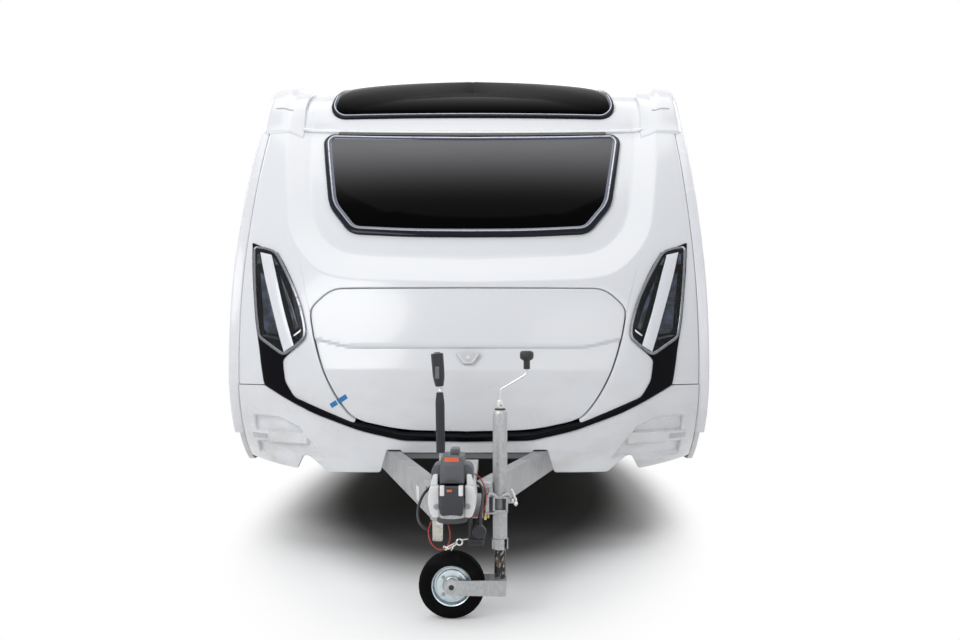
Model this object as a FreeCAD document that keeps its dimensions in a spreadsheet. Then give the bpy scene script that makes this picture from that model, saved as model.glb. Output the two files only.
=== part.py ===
import FreeCAD, Part
import Sketcher
import math
import os
import re

# A single-axle travel caravan, in millimetres. The drawbar points along -Y, +Z is up, and the origin is
# on the ground under the middle of the whole vehicle. The entrance door is on the +X side.

doc = FreeCAD.newDocument("Caravan")
Vec = FreeCAD.Vector

# ---------------------------------------------------------------- driving sizes
SIZES = """
OverallLength 7320
BodyWidth 2240
RoofHeight 2581
WallThick 32
FloorHeight 470
FloorThick 46
DrawbarReach 1300
WaistHeight 800
SkirtHeight 345
SkirtTop 500
SkirtThick 24
CornerLead 270
BrowLead 90
BrowRise 1340
NoseTuck 20
LowerRoll 520
EdgeRound 20
TailReach 20
RearBumperTop 610
TailLead 60
TailRoll 3000
RailProud 20
RailWrap 12
RailWidth 42
PanelGap 6
FrontJoint 1390
RearJoint 330
AxleY 900
TyreRadius 325
TyreWidth 185
RimRadius 178
RimWidth 140
RimDish 46
WheelPlane 985
ArchGap 42
HubRadius 80
DrumRadius 125
DrumWidth 70
AxleTube 50
ArmLength 170
ArmHeight 60
RunningGap 0.5
RailPlane 600
RailFlange 50
RailSheet 4
RailEndY 3300
BeamTop 440
BeamHeight 105
BeamTip 85
BeamTipY -3330
BeamEndY -1390
HousingLength 420
HousingHalf 33
HousingWide 62
HousingRise 34
SaddlePlate 6
BallHeight 430
BallSocket 25.4
CouplingWidth 70
BellowsRadius 40
JockeyX 142
JockeyY -3296
JockeyTube 24
JockeyBore 21.5
JockeyTop 703
JockeyFoot 228
JockeyStem 19
JockeyStemLength 350
JockeyForkTop 133
JockeyTrail 159
JockeyRadius 110
JockeyWidth 66
JockeyRim 68
JockeyAxle 10
ForkArm 6
ForkGap 5
ForkHeight 52
CrankRise 105
CrankReach 88
SteadyPlane 760
SteadyLength 480
SteadyPivot 415
SteadyWidth 60
SteadyDepth 42
SteadySheet 4
SteadyCheek 5
SteadyFrontY -1480
SteadyRearY 3020
DoorY -470
DoorWidth 640
DoorFoot 530
DoorHeight 1760
DoorRound 90
DoorGlassWidth 300
DoorGlassHeight 480
HingeProud 8
HingeBarrel 7
HingeLeaf 6
HingeLength 60
HingeGap 0.3
HatchY -1780
HatchWidth 640
HatchFoot 560
HatchHeight 300
FlapY 2700
FlapWidth 400
FlapFoot 580
FlapHeight 380
FlapRound 30
WindowProud 22
WindowRound 60
WindowLap 28
ShelfDepth 60
GlassThick 24
LampProud 10
LockerDepth 400
LidAxisY -2260
LidAxisZ 1168
LidBarrel 5
LidNotch 16
TubSheet 8
TubHalf 745
TubTop 1179
WheelBoxDepth 240
WheelBoxSheet 8
RooflightRise 29
RooflightRound 40
HandbrakeX -66
HandbrakeY -3180
HandbrakeTop 879
GripRadius 21
GripLength 117
SleeveRadius 13
RoofWindowProud 28
CapLift 55
CapSeam 7
CapInnerX 930
CapFootZ 2062
CapTopZ 2330
CapEndY -720
CoverFront -3625
CoverTop 572
CoverTab 18
BlockRise 61
BellRadius 42
BellSetback 55
PadInner 41
PadOuter 71
PadFoot 392
HangerFoot 303
ClampHalf 33
ClampFoot 342
ClampHeight 62
LeadSize 9
SafetySize 4
PlugX 78.5
PlugY -3542
PlugRadius 14
PlugFoot 317
"""
sheet = doc.addObject("Spreadsheet::Sheet", "Sizes")
for row, line in enumerate(SIZES.split("\n")[1:-1], 1):
    alias, value = line.split()
    sheet.set("A%d" % row, alias)
    sheet.set("B%d" % row, value)
    sheet.setAlias("B%d" % row, alias)
doc.recompute()


class Cells:
    """Reads a driving size by its name."""

    def __getattr__(self, alias):
        return float(getattr(sheet, alias))


S = Cells()
HALF = S.BodyWidth / 2
PANEL = HALF - S.WallThick
NOSE_Y = -S.OverallLength / 2 + S.DrawbarReach
SIDE_Y = NOSE_Y + S.CornerLead
TAIL_SAG = S.TailRoll - math.sqrt(S.TailRoll ** 2 - (S.WaistHeight - S.RearBumperTop) ** 2)
TAIL_Y = S.OverallLength / 2 - S.TailReach + TAIL_SAG
MIDDLE_Y = 400.0

nodes = []


# ---------------------------------------------------------------- helpers for document objects
def bind(obj, prop, text):
    """Ties a property to an expression whose capitalised words are cells of the sheet."""
    obj.setExpression(prop, re.sub(r"\b([A-Z]\w+)", r"Sizes.\1", text))


def solid(kind, name, where=("0", "0", "0"), turn=None, **sizes):
    """A Part primitive whose sizes and place are expressions; turn is (axis, degrees)."""
    obj = doc.addObject("Part::" + kind, name)
    if turn:
        obj.Placement = FreeCAD.Placement(Vec(0, 0, 0), FreeCAD.Rotation(Vec(*turn[0]), turn[1]))
    for prop, text in sizes.items():
        bind(obj, prop, text)
    for letter, text in zip("xyz", where):
        bind(obj, "Placement.Base." + letter, text)
    return obj


def fuse(name, parts):
    obj = doc.addObject("Part::MultiFuse", name)
    obj.Shapes = parts
    return obj


def cut(name, base, tools):
    """The base less its tools, one after another."""
    for number, tool in enumerate(tools):
        obj = doc.addObject("Part::Cut", name if number == len(tools) - 1 else "%s_step%d" % (name, number))
        obj.Base = base
        obj.Tool = tool
        base = obj
    return base


def shape(name, made):
    """A feature with a shape worked out from the sheet in this file's own code."""
    obj = doc.addObject("Part::Feature", name)
    obj.Shape = made
    return obj


def node(obj, label):
    """Marks an object as one of the caravan's pieces."""
    obj.Label = label
    nodes.append(obj)
    return obj


X_AXIS, Y_AXIS, Z_AXIS = (1, 0, 0), (0, 1, 0), (0, 0, 1)
ALONG_X = (Y_AXIS, 90)
ALONG_Y = (X_AXIS, -90)


# ---------------------------------------------------------------- the body's form
def box(x0, x1, y0, y1, z0, z1):
    return Part.makeBox(x1 - x0, y1 - y0, z1 - z0, Vec(x0, y0, z0))


def face(edges):
    return Part.Face(Part.Wire(edges))


def lines(points, closed=True):
    """Straight edges through the points."""
    ends = points[1:] + points[:1] if closed else points[1:]
    return [Part.LineSegment(a, b).toShape() for a, b in zip(points, ends)]


class End:
    """One end of the body: arcs in side view from the waist up to the flat roof, and bowed in plan.

    arcs holds rows of radius and the tilt in degrees that the arc reaches; they are scaled together so
    that the last one meets the roof. lead(z) is how far the middle stands ahead of the sides, and
    power(z) is how square the bow is.
    """

    def __init__(self, waist_y, outwards, roll, arcs, lead, power, stations):
        self.outwards, self.lead, self.power, self.stations = outwards, lead, power, stations
        rises = []
        tilt = 0.0
        for radius, reached in arcs:
            rises.append(radius * (math.sin(math.radians(reached)) - math.sin(tilt)))
            tilt = math.radians(reached)
        scale = (S.RoofHeight - S.WaistHeight) / sum(rises)
        self.rows = [(roll, None, 0.0, waist_y - outwards * roll, S.WaistHeight)]
        y, z, tilt = waist_y, S.WaistHeight, 0.0
        for radius, reached in arcs:
            radius *= scale
            end = math.radians(reached)
            centre_y = y - outwards * radius * math.cos(tilt)
            centre_z = z - radius * math.sin(tilt)
            self.rows.append((radius, tilt, end, centre_y, centre_z))
            y = centre_y + outwards * radius * math.cos(end)
            z = centre_z + radius * math.sin(end)
            tilt = end

    def edge(self, row, tilt, inset):
        """A point of the side view: y, z."""
        radius, _, _, centre_y, centre_z = self.rows[row]
        return (centre_y + self.outwards * (radius - inset) * math.cos(tilt),
                centre_z + (radius - inset) * math.sin(tilt))

    def point(self, x, row, tilt, inset):
        """A point of the bowed surface, moved in by the inset square to the side view."""
        if abs(x) > PANEL + 1:
            side_y, z = self.edge(row, tilt, inset)
            return Vec(x, side_y, z)
        outer_z = self.edge(row, tilt, 0)[1]
        side_y, z = self.edge(row, tilt, inset)
        outer_y = self.edge(row, tilt, 0)[0]
        lead = self.lead(outer_z, outer_y)
        bow = lead - (lead - S.EdgeRound) * (abs(x) / PANEL) ** self.power(outer_z)
        return Vec(x, side_y + self.outwards * bow, z)

    def arcs(self, x, inset, foot):
        """The edges of one section, from the foot to the roof."""
        start = math.asin((foot - S.WaistHeight) / (self.rows[0][0] - inset))
        edges = []
        for row, (_, begin, end, _, _) in enumerate(self.rows):
            begin = start if begin is None else begin
            tilts = (begin, (begin + end) / 2, end)
            edges.append(Part.Arc(*[self.point(x, row, tilt, inset) for tilt in tilts]).toShape())
        return edges

    def block(self, inset, foot, close_y=None):
        """All that lies inside the surface, back to the plane in the middle of the body."""
        close_y = MIDDLE_Y if close_y is None else close_y
        sections = []
        for x in self.stations:
            edges = self.arcs(x, inset, foot)
            top = edges[-1].Vertexes[-1].Point
            low = edges[0].Vertexes[0].Point
            back = [top, Vec(x, close_y, top.z), Vec(x, close_y, low.z), low]
            sections.append(Part.Wire(edges + lines(back, closed=False)))
        return Part.makeLoft(sections, True, True)


def nose_lead(z, y):
    if z < S.WaistHeight:
        tuck = (S.WaistHeight - z) / (S.WaistHeight - S.SkirtHeight)
        return y - NOSE_Y - S.NoseTuck * tuck * tuck
    return S.CornerLead - (S.CornerLead - S.BrowLead) * min(1, (z - S.WaistHeight) / S.BrowRise)


def nose_power(z):
    if z < S.WaistHeight:
        return 3 + (S.WaistHeight - z) / (S.WaistHeight - S.SkirtHeight)
    return 3 - min(1, (z - S.WaistHeight) / S.BrowRise)


def both_sides(fractions):
    return [-f * PANEL for f in reversed(fractions)] + [f * PANEL for f in fractions[1:]]


#             radius, tilt reached
NOSE_ARCS = ((1450, 24), (2860, 42), (800, 72), (4400, 90))
TAIL_ARCS = ((7500, 8), (380, 90))
nose = End(SIDE_Y, -1, S.LowerRoll, NOSE_ARCS, nose_lead, nose_power,
           both_sides((0, 0.3, 0.5, 0.66, 0.8, 0.91, 1)))
tail = End(TAIL_Y - S.TailLead, 1, S.TailRoll, TAIL_ARCS,
           lambda z, y: S.TailLead, lambda z: 3, both_sides((0, 0.5, 0.8, 1)))

blocks = {}


def end_block(name, end, inset):
    """A cached block; one that is moved in reaches a little lower, so that it cuts right through."""
    if (name, inset) not in blocks:
        lowest = S.WaistHeight - 0.97 * (end.rows[0][0] - inset)
        blocks[name, inset] = end.block(inset, max(S.SkirtHeight - max(0, inset) / 2, lowest))
    return blocks[name, inset]


def nose_block(inset):
    return end_block("nose", nose, inset)


def tail_block(inset):
    return end_block("tail", tail, inset)


def band(block, outer, inner):
    """The layer between two insets of an end's surface."""
    return block(outer).cut(block(inner))


def column_x(points, x0, x1):
    """A column along X over an outline given as y, z."""
    return face(lines([Vec(x0, y, z) for y, z in points])).extrude(Vec(x1 - x0, 0, 0))


def prism(points, y0, y1):
    """A column along Y over an outline given as x, z."""
    return face(lines([Vec(x, y0, z) for x, z in points])).extrude(Vec(0, y1 - y0, 0))


def mirrored(points):
    """An outline given for +X and closed on its mirror image."""
    return points + [(-x, z) for x, z in reversed(points) if abs(x) > 0.01]


def other_side(points):
    return [(-x, z) for x, z in points]


FRONT = (NOSE_Y - 200, -200.0)
BACK = (2000.0, TAIL_Y + 200)


def rounded_slab(x0, x1, y0, y1, z0, z1, radius):
    """A slab across X with rounded corners."""
    slab = box(x0, x1, y0, y1, z0, z1)
    edges = [e for e in slab.Edges if abs(e.tangentAt(e.FirstParameter).x) > 0.99]
    return slab.makeFillet(radius, edges)


def rounded_plate(z0, z1, x0, x1, y0, y1, radius):
    """A slab across Z with rounded corners."""
    slab = box(x0, x1, y0, y1, z0, z1)
    edges = [e for e in slab.Edges if abs(e.tangentAt(e.FirstParameter).z) > 0.99]
    return slab.makeFillet(radius, edges)


def grown(points, by):
    """An x, z outline moved outwards by a margin, its corners kept sharp."""
    wire = Part.Wire(lines([Vec(x, 0, z) for x, z in points]))
    return [(v.Point.x, v.Point.z) for v in wire.makeOffset2D(by, 2).OrderedVertexes]


# Outlines on the front, x and z, for +X, from the top inwards; the far side mirrors them.
LAMP_INNER = [(915, 1357), (795, 1155), (737, 943), (848, 847), (834, 751), (788, 679), (665, 629),
              (511, 568), (288, 517)]
LAMP_OUTER = [(288, 492), (481, 535), (697, 610), (819, 667), (943, 733), (962, 835), (1000, 1028),
              (1057, 1408)]
STRIP_FOOT = 485
lamp_outline = (LAMP_OUTER + LAMP_INNER + [(-x, z) for x, z in reversed(LAMP_INNER)]
                + [(-x, z) for x, z in reversed(LAMP_OUTER)])
locker_outline = mirrored([(625, 1172), (717, 1090), (718, 1045), (692, 925), (645, 790), (587, 678),
                           (524, 592), (470, 564), (288, 522)])
shelf_outline = mirrored([(985, 2062), (885, 1484), (825, 1378), (711, 1258), (575, 1212)])
window_outline = mirrored([(752, 2054), (780, 2002), (705, 1608), (580, 1455)])
roof_window_outline = mirrored([(700, 2455), (790, 2390), (790, 2200), (735, 2146)])
rear_window_outline = mirrored([(640, 1960), (700, 1900), (700, 1420), (640, 1360)])
# The bumper's raised middle, with a notch for each drawbar beam.
beam_notch = mirrored([(285, 424), (285, 447), (364, 447), (388, S.SkirtHeight - 20)])


# ---------------------------------------------------------------- cabin panels
def wall_profile(x, inset, foot):
    """A side wall's outline at x, moved in by the inset."""
    front = nose.arcs(HALF, inset, foot)
    rear = tail.arcs(HALF, inset, foot)
    roof = Part.LineSegment(front[-1].Vertexes[-1].Point, rear[-1].Vertexes[-1].Point).toShape()
    sill = Part.LineSegment(front[0].Vertexes[0].Point, rear[0].Vertexes[0].Point).toShape()
    outline = face(Part.__sortEdges__(front + [roof] + rear + [sill]))
    return outline.translated(Vec(x - HALF, 0, 0))


def wall_slab(x0, x1, inset, foot):
    return wall_profile(x0, inset, foot).extrude(Vec(x1 - x0, 0, 0))


#                side  y    width  foot  height
SIDE_WINDOWS = ((1, -1380, 820, 1330, 560), (1, 420, 900, 1420, 500), (1, 1900, 1050, 1330, 600),
                (-1, -1380, 900, 1330, 560), (-1, 350, 950, 1420, 500), (-1, 1900, 1050, 1330, 600))


def across(side, x0, x1):
    """A span across a side wall, as its low and high x."""
    return (x0, x1) if side > 0 else (-x1, -x0)


def side_window(row, margin, x0, x1):
    side, y, width, foot, height = row
    low, high = across(side, x0, x1)
    return rounded_slab(low, high, y + margin, y + width - margin, foot + margin, foot + height - margin,
                        S.WindowRound)


def wheel_arch(side, gap):
    """The space cut over a wheel, through wall and skirt."""
    low, high = across(side, PANEL - 60, HALF + 60)
    radius = S.TyreRadius + gap
    arch = Part.makeCylinder(radius, high - low, Vec(low, S.AxleY, S.TyreRadius), Vec(1, 0, 0))
    return arch.fuse(box(low, high, S.AxleY - radius, S.AxleY + radius, 0, S.TyreRadius))


def door_slab(margin, x0, x1):
    return rounded_slab(x0, x1, S.DoorY - margin, S.DoorY + S.DoorWidth + margin,
                        S.DoorFoot - margin, S.DoorFoot + S.DoorHeight + margin, S.DoorRound)


def hatch_slab(margin, x0, x1):
    return rounded_slab(x0, x1, S.HatchY - margin, S.HatchY + S.HatchWidth + margin,
                        S.HatchFoot - margin, S.HatchFoot + S.HatchHeight + margin, S.FlapRound)


def flap_slab(margin, x0, x1):
    return rounded_slab(-x1, -x0, S.FlapY - margin, S.FlapY + S.FlapWidth + margin,
                        S.FlapFoot - margin, S.FlapFoot + S.FlapHeight + margin, S.FlapRound)


def hinge(side, along, start, axis_at, towards, on_lid):
    """One side of a knuckle hinge on the outer face of a wall.

    The hinge runs along Y or Z from start, a third to the lid in the middle and the rest to the wall. Its
    axis lies at axis_at in the other direction, and towards points from the axis to the lid.
    """
    third = S.HingeLength / 3
    spans = [(start + third + S.HingeGap, start + 2 * third - S.HingeGap)] if on_lid else [
        (start, start + third), (start + 2 * third, start + 3 * third)]
    reach = towards if on_lid else -towards
    pieces = []
    for low, high in spans:
        x = side * (HALF + S.HingeProud)
        leaf_x = across(side, HALF, HALF + S.HingeLeaf)
        leaf = sorted((axis_at, axis_at + reach * 25))
        if along == "z":
            barrel = Part.makeCylinder(S.HingeBarrel, high - low, Vec(x, axis_at, low), Vec(0, 0, 1))
            plate = box(*leaf_x, *leaf, low, high)
        else:
            barrel = Part.makeCylinder(S.HingeBarrel, high - low, Vec(x, low, axis_at), Vec(0, 1, 0))
            plate = box(*leaf_x, low, high, *leaf)
        pieces.append(barrel.fuse(plate))
    return pieces


def door_hinges(on_lid):
    axis = S.DoorY - S.PanelGap / 2
    found = []
    for share in (0.12, 0.5, 0.86):
        found += hinge(1, "z", S.DoorFoot + share * S.DoorHeight, axis, 1, on_lid)
    return found


def lid_hinges(side, y, width, top, on_lid):
    found = []
    for start in (y + 60, y + width - 60 - S.HingeLength):
        found += hinge(side, "y", start, top + S.PanelGap / 2, -1, on_lid)
    return found


def hatch_hinges(on_lid):
    return lid_hinges(1, S.HatchY, S.HatchWidth, S.HatchFoot + S.HatchHeight, on_lid)


def flap_hinges(on_lid):
    return lid_hinges(-1, S.FlapY, S.FlapWidth, S.FlapFoot + S.FlapHeight, on_lid)


def locker_hinge_spans(on_lid):
    """Where the knuckles of the locker lid lie along X: the middle third of each hinge is on the lid."""
    third = S.HingeLength / 3
    spans = []
    for start in (-280 - S.HingeLength, 280):
        if on_lid:
            spans.append((start + third + S.HingeGap, start + 2 * third - S.HingeGap))
        else:
            spans += [(start, start + third), (start + 2 * third, start + 3 * third)]
    return spans


def locker_hinges(on_lid):
    found = []
    for low, high in locker_hinge_spans(on_lid):
        barrel = Part.makeCylinder(S.LidBarrel, high - low, Vec(low, S.LidAxisY, S.LidAxisZ), Vec(1, 0, 0))
        ends = (-S.LidNotch - 8, 0) if on_lid else (0, S.PanelGap + 10)
        leaf = box(low, high, S.LidAxisY, S.LidAxisY + 18, S.LidAxisZ + ends[0], S.LidAxisZ + ends[1])
        found.append(barrel.fuse(leaf))
    return found


def locker_notches():
    """The room for both hinges in the lid's upper edge."""
    return [box(start - 1, start + S.HingeLength + 1, S.LidAxisY - 40, S.LidAxisY + 80,
                S.LidAxisZ - S.LidNotch, S.LidAxisZ + 40) for start in (-280 - S.HingeLength, 280)]


def make_side_walls():
    through = (PANEL - 60, HALF + 60)
    for side, label in ((-1, "side_wall_left"), (1, "side_wall_right")):
        low, high = across(side, PANEL, HALF)
        wall = wall_slab(low, high, 0, S.SkirtTop)
        cuts = [side_window(row, S.WindowLap, *through) for row in SIDE_WINDOWS if row[0] == side]
        cuts.append(wheel_arch(side, S.ArchGap))
        if side > 0:
            cuts.append(door_slab(S.PanelGap, *through))
            cuts.append(hatch_slab(S.PanelGap, *through))
        else:
            cuts.append(flap_slab(S.PanelGap, *through))
        knuckles = door_hinges(False) + hatch_hinges(False) if side > 0 else flap_hinges(False)
        node(shape(label + "_shape", wall.cut(cuts).fuse(knuckles)), label)


def make_front_panel():
    skin = band(nose_block, 0, S.WallThick)
    shelf = prism(shelf_outline, *FRONT)
    rim = prism(grown(shelf_outline, S.WallThick), *FRONT)
    deep = nose_block(S.ShelfDepth)
    seat = nose_block(0).cut(nose_block(S.ShelfDepth + S.WallThick)).common(rim)
    seat = seat.cut(nose_block(0).cut(deep).common(shelf))
    panel = skin.cut(shelf).fuse(seat)
    keep = box(-PANEL, PANEL, NOSE_Y - 200, SIDE_Y + S.FrontJoint, STRIP_FOOT, S.RoofHeight + 100)
    panel = panel.common(keep)
    cuts = [prism(line, *FRONT) for line in (
        lamp_outline, lower_front(), grown(locker_outline, S.PanelGap), grown(window_outline, -S.WindowLap),
        grown(roof_window_outline, -S.WindowLap))]
    node(shape("front_panel_shape", panel.cut(cuts).fuse(locker_hinges(False))), "front_panel")


def lower_front():
    """The outline below the lamps and their strip, which the bumper fills."""
    return ([(PANEL + 50, 733), (PANEL + 50, 200), (-PANEL - 50, 200), (-PANEL - 50, 733)]
            + [(-x, z) for x, z in reversed(LAMP_OUTER[:5])] + LAMP_OUTER[:5])


def make_front_bumper():
    skin = band(nose_block, 0, S.SkirtThick).common(prism(lower_front(), *FRONT))
    notch = prism(beam_notch, *FRONT)
    skin = skin.common(box(-PANEL, PANEL, NOSE_Y - 200, SIDE_Y + S.FrontJoint / 4, 0, 1000))
    node(shape("front_bumper_shape", skin.cut(notch)), "front_bumper")


def make_roof():
    front = band(nose_block, 0, S.WallThick).common(
        box(-PANEL, PANEL, SIDE_Y + S.FrontJoint, MIDDLE_Y, 2000, S.RoofHeight + 100))
    rear = band(tail_block, 0, S.WallThick).common(
        box(-PANEL, PANEL, MIDDLE_Y, TAIL_Y - S.RearJoint, 2000, S.RoofHeight + 100))
    roof = front.fuse(rear)
    holes = [rooflight(row, -S.WindowLap, 2000, S.RoofHeight + 200) for row in ROOFLIGHTS]
    node(shape("roof_shape", roof.cut(holes)), "roof")


#              y    length  width
ROOFLIGHTS = ((560, 700, 500), (-380, 400, 400), (2500, 400, 400))


def rooflight(row, margin, z0, z1):
    y, length, width = row
    half = width / 2 + margin
    return rounded_plate(z0, z1, -half, half, y - margin, y + length + margin, S.RooflightRound)


def make_rear_panel():
    skin = band(tail_block, 0, S.WallThick).common(
        box(-PANEL, PANEL, TAIL_Y - S.RearJoint, TAIL_Y + 200, S.RearBumperTop, S.RoofHeight + 100))
    opening = prism(grown(rear_window_outline, -S.WindowLap), *BACK)
    node(shape("rear_panel_shape", skin.cut(opening)), "rear_panel")
    bumper = band(tail_block, -S.TailReach, S.WallThick).common(
        box(-PANEL, PANEL, TAIL_Y - S.RearJoint, TAIL_Y + 200, S.SkirtHeight, S.RearBumperTop))
    node(shape("rear_bumper_shape", bumper), "rear_bumper")


def make_floor():
    y0 = SIDE_Y + S.LockerDepth
    floor = solid("Box", "floor_board", ("-BodyWidth / 2 + WallThick", "0", "FloorHeight"),
                  Length="BodyWidth - 2 * WallThick", Height="FloorThick")
    bind(floor, "Placement.Base.y", "-OverallLength / 2 + DrawbarReach + CornerLead + LockerDepth")
    bind(floor, "Width", "OverallLength - DrawbarReach - CornerLead - LockerDepth - TailReach - WallThick"
         " - TailLead")
    slots = []
    reach = S.TyreRadius + S.ArchGap
    for side, word in ((-1, "left"), (1, "right")):
        low, high = across(side, PANEL - S.WheelBoxDepth, PANEL + 10)
        slots.append(shape("floor_slot_" + word, box(low, high, S.AxleY - reach, S.AxleY + reach,
                                                     S.FloorHeight - 10, S.FloorHeight + S.FloorThick + 10)))
    node(cut("floor_shape", floor, slots), "floor")


def make_wheel_boxes():
    boxes = []
    reach, sheet = S.TyreRadius + S.ArchGap, S.WheelBoxSheet
    start, stop, top = S.AxleY - reach, S.AxleY + reach, S.TyreRadius + reach
    for side in (-1, 1):
        low, high = across(side, PANEL - S.WheelBoxDepth, PANEL)
        outer = box(low, high, start, stop, S.FloorHeight, top + sheet)
        low, high = across(side, PANEL - S.WheelBoxDepth + sheet, PANEL + 10)
        boxes.append(outer.cut(box(low, high, start + sheet, stop - sheet, 0, top)))
    node(shape("wheel_boxes_shape", Part.makeCompound(boxes)), "wheel_boxes")


def make_skirts():
    skirts = []
    for side in (-1, 1):
        low, high = across(side, HALF - S.SkirtThick, HALF)
        plate = wall_slab(low, high, 0, S.SkirtHeight).common(
            box(-2000, 2000, -4000, 4000, S.SkirtHeight, S.SkirtTop))
        skirts.append(plate.cut(wheel_arch(side, S.ArchGap)))
    node(shape("side_skirts_shape", Part.makeCompound(skirts)), "side_skirts")


def make_rails():
    rails = []
    for side in (-1, 1):
        low, high = across(side, PANEL, HALF + S.RailProud)
        wrap = wall_slab(low, high, -S.RailWrap, S.SkirtTop)
        wrap = wrap.cut(wall_slab(low - 5, high + 5, 0, S.SkirtTop - 5))
        low, high = across(side, HALF, HALF + S.RailProud)
        lip = wall_slab(low, high, 0, S.SkirtTop)
        lip = lip.cut(wall_slab(low - 5, high + 5, S.RailWidth, S.SkirtTop - 40))
        lip = lip.common(box(-2000, 2000, -4000, 4000, S.SkirtTop, 4000))
        rails.append(wrap.fuse(lip).cut(cap_block(side)).removeSplitter())
    node(shape("awning_rails_shape", Part.makeCompound(rails)), "awning_rails")


def cap_line():
    """The cap's face and its foot in side view, at nine tilts of the body's arcs from its foot to its end."""
    x = PANEL - 38
    upper, lower = [], []
    for tilt in (43, 47, 51, 56, 61, 66, 71, 76, 80):
        row = 3 if tilt < 72 else 4
        angle = math.radians(tilt)
        z = nose.edge(row, angle, 0)[1]
        share = min(1, max(0, (z - S.CapFootZ - 10) / (S.CapTopZ - S.CapFootZ - 10)))
        lift = S.CapSeam + (S.CapLift - S.CapSeam) * share * share * (3 - 2 * share)
        upper.append(nose.point(x, row, angle, -lift))
        lower.append(nose.point(x, row, angle, S.RailWidth + 40))
    return upper, lower


def cap_block(side):
    """The column over a cap's outline, from its inner edge to the rail's outer face."""
    upper, lower = cap_line()
    low, high = across(side, S.CapInnerX, HALF + S.RailProud)
    outline = [Vec(low, p.y, p.z) for p in upper + lower[::-1]]
    column = face(lines(outline)).extrude(Vec(high - low, 0, 0))
    return column.common(box(-2000, 2000, -3000, S.CapEndY, S.CapFootZ, S.RoofHeight + 100))


def make_shoulder_caps():
    caps = []
    for side in (-1, 1):
        low, high = across(side, PANEL, HALF)
        under = wall_slab(low, high, 0, S.SkirtTop)
        low, high = across(side, HALF, HALF + S.RailProud + 5)
        beside = wall_slab(low, high, S.RailWidth, S.SkirtTop)
        caps.append(cap_block(side).cut([nose_block(0), under, beside]).removeSplitter())
    node(shape("shoulder_caps_shape", Part.makeCompound(caps)), "shoulder_caps")


def make_glazing():
    pane = nose_block(S.ShelfDepth - S.GlassThick).cut(nose_block(S.ShelfDepth))
    node(shape("front_window_shape", pane.common(prism(window_outline, *FRONT))), "front_window")
    pane = band(nose_block, -S.RoofWindowProud, 0)
    node(shape("roof_window_shape", pane.common(prism(roof_window_outline, *FRONT))), "roof_window")
    pane = band(tail_block, -S.WindowProud, 0)
    node(shape("rear_window_shape", pane.common(prism(rear_window_outline, *BACK))), "rear_window")
    panes = [side_window(row, 0, HALF, HALF + S.WindowProud - 4) for row in SIDE_WINDOWS]
    node(shape("side_windows_shape", Part.makeCompound(panes)), "side_windows")
    domes = [rooflight(row, 0, S.RoofHeight - 30, S.RoofHeight + S.RooflightRise).cut(
        [nose_block(0), tail_block(0)]) for row in ROOFLIGHTS]
    node(shape("rooflights_shape", Part.makeCompound(domes)), "rooflights")


def make_lamps():
    housing = band(nose_block, -S.LampProud, S.SkirtThick).common(prism(lamp_outline, *FRONT))
    housing = housing.common(box(-PANEL, PANEL, NOSE_Y - 200, 0, 0, 2000))
    node(shape("lamp_housings_shape", housing), "lamp_housings")
    lamps = []
    for side in (-1, 1):
        low, high = across(side, 900, 1040)
        lamps.append(band(tail_block, -S.TailReach, 0).common(box(low, high, 3000, TAIL_Y + 200, 700, 1300)))
    node(shape("rear_lamps_shape", Part.makeCompound(lamps)), "rear_lamps")


# ---------------------------------------------------------------- doors and lids
def make_entrance_door():
    slab = door_slab(0, PANEL, HALF)
    middle = S.DoorY + S.DoorWidth / 2
    glass_foot = S.DoorFoot + S.DoorHeight - 250 - S.DoorGlassHeight

    def pane(margin, x0, x1):
        return rounded_slab(x0, x1, middle - S.DoorGlassWidth / 2 + margin,
                            middle + S.DoorGlassWidth / 2 - margin, glass_foot + margin,
                            glass_foot + S.DoorGlassHeight - margin, S.WindowRound / 2)

    leaf = slab.cut(pane(20, PANEL - 20, HALF + 20)).fuse(door_hinges(True))
    node(shape("entrance_door_shape", leaf), "entrance_door")
    node(shape("door_glass_shape", pane(0, HALF, HALF + 6)), "door_glass")


TUB_FOOT = S.FloorHeight + S.FloorThick - 4


def make_locker():
    skin = band(nose_block, 0, S.SkirtThick).common(prism(locker_outline, *FRONT)).cut(locker_notches())
    node(shape("locker_door_shape", skin.fuse(locker_hinges(True))), "locker_door")
    depth = SIDE_Y + S.LockerDepth
    shell = nose_block(S.WallThick).common(box(-S.TubHalf, S.TubHalf, NOSE_Y - 100, depth, TUB_FOOT, S.TubTop))
    room = box(-S.TubHalf + S.TubSheet, S.TubHalf - S.TubSheet, NOSE_Y - 100, depth - S.TubSheet,
               TUB_FOOT + S.TubSheet, S.TubTop - S.TubSheet)
    node(shape("locker_tub_shape", shell.cut(room)), "locker_tub")


def make_hatches():
    node(shape("side_hatch_shape", hatch_slab(0, PANEL, HALF).fuse(hatch_hinges(True))), "side_hatch")
    node(shape("service_flap_shape", flap_slab(0, PANEL, HALF).fuse(flap_hinges(True))), "service_flap")


# ---------------------------------------------------------------- chassis
def channel(name, length):
    """A chassis channel lying along +Y, its web on x = 0 and its flanges towards +x."""
    block = solid("Box", name + "_block", Length="RailFlange", Width=length, Height="BeamHeight")
    hollow = solid("Box", name + "_hollow", ("RailSheet", "-1", "RailSheet"), Length="RailFlange",
                   Width=length + " + 2", Height="BeamHeight - 2 * RailSheet")
    return cut(name, block, [hollow])


BEAM_SLOPE = math.atan2(S.RailPlane - S.BeamTip, S.BeamEndY - S.BeamTipY)


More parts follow.
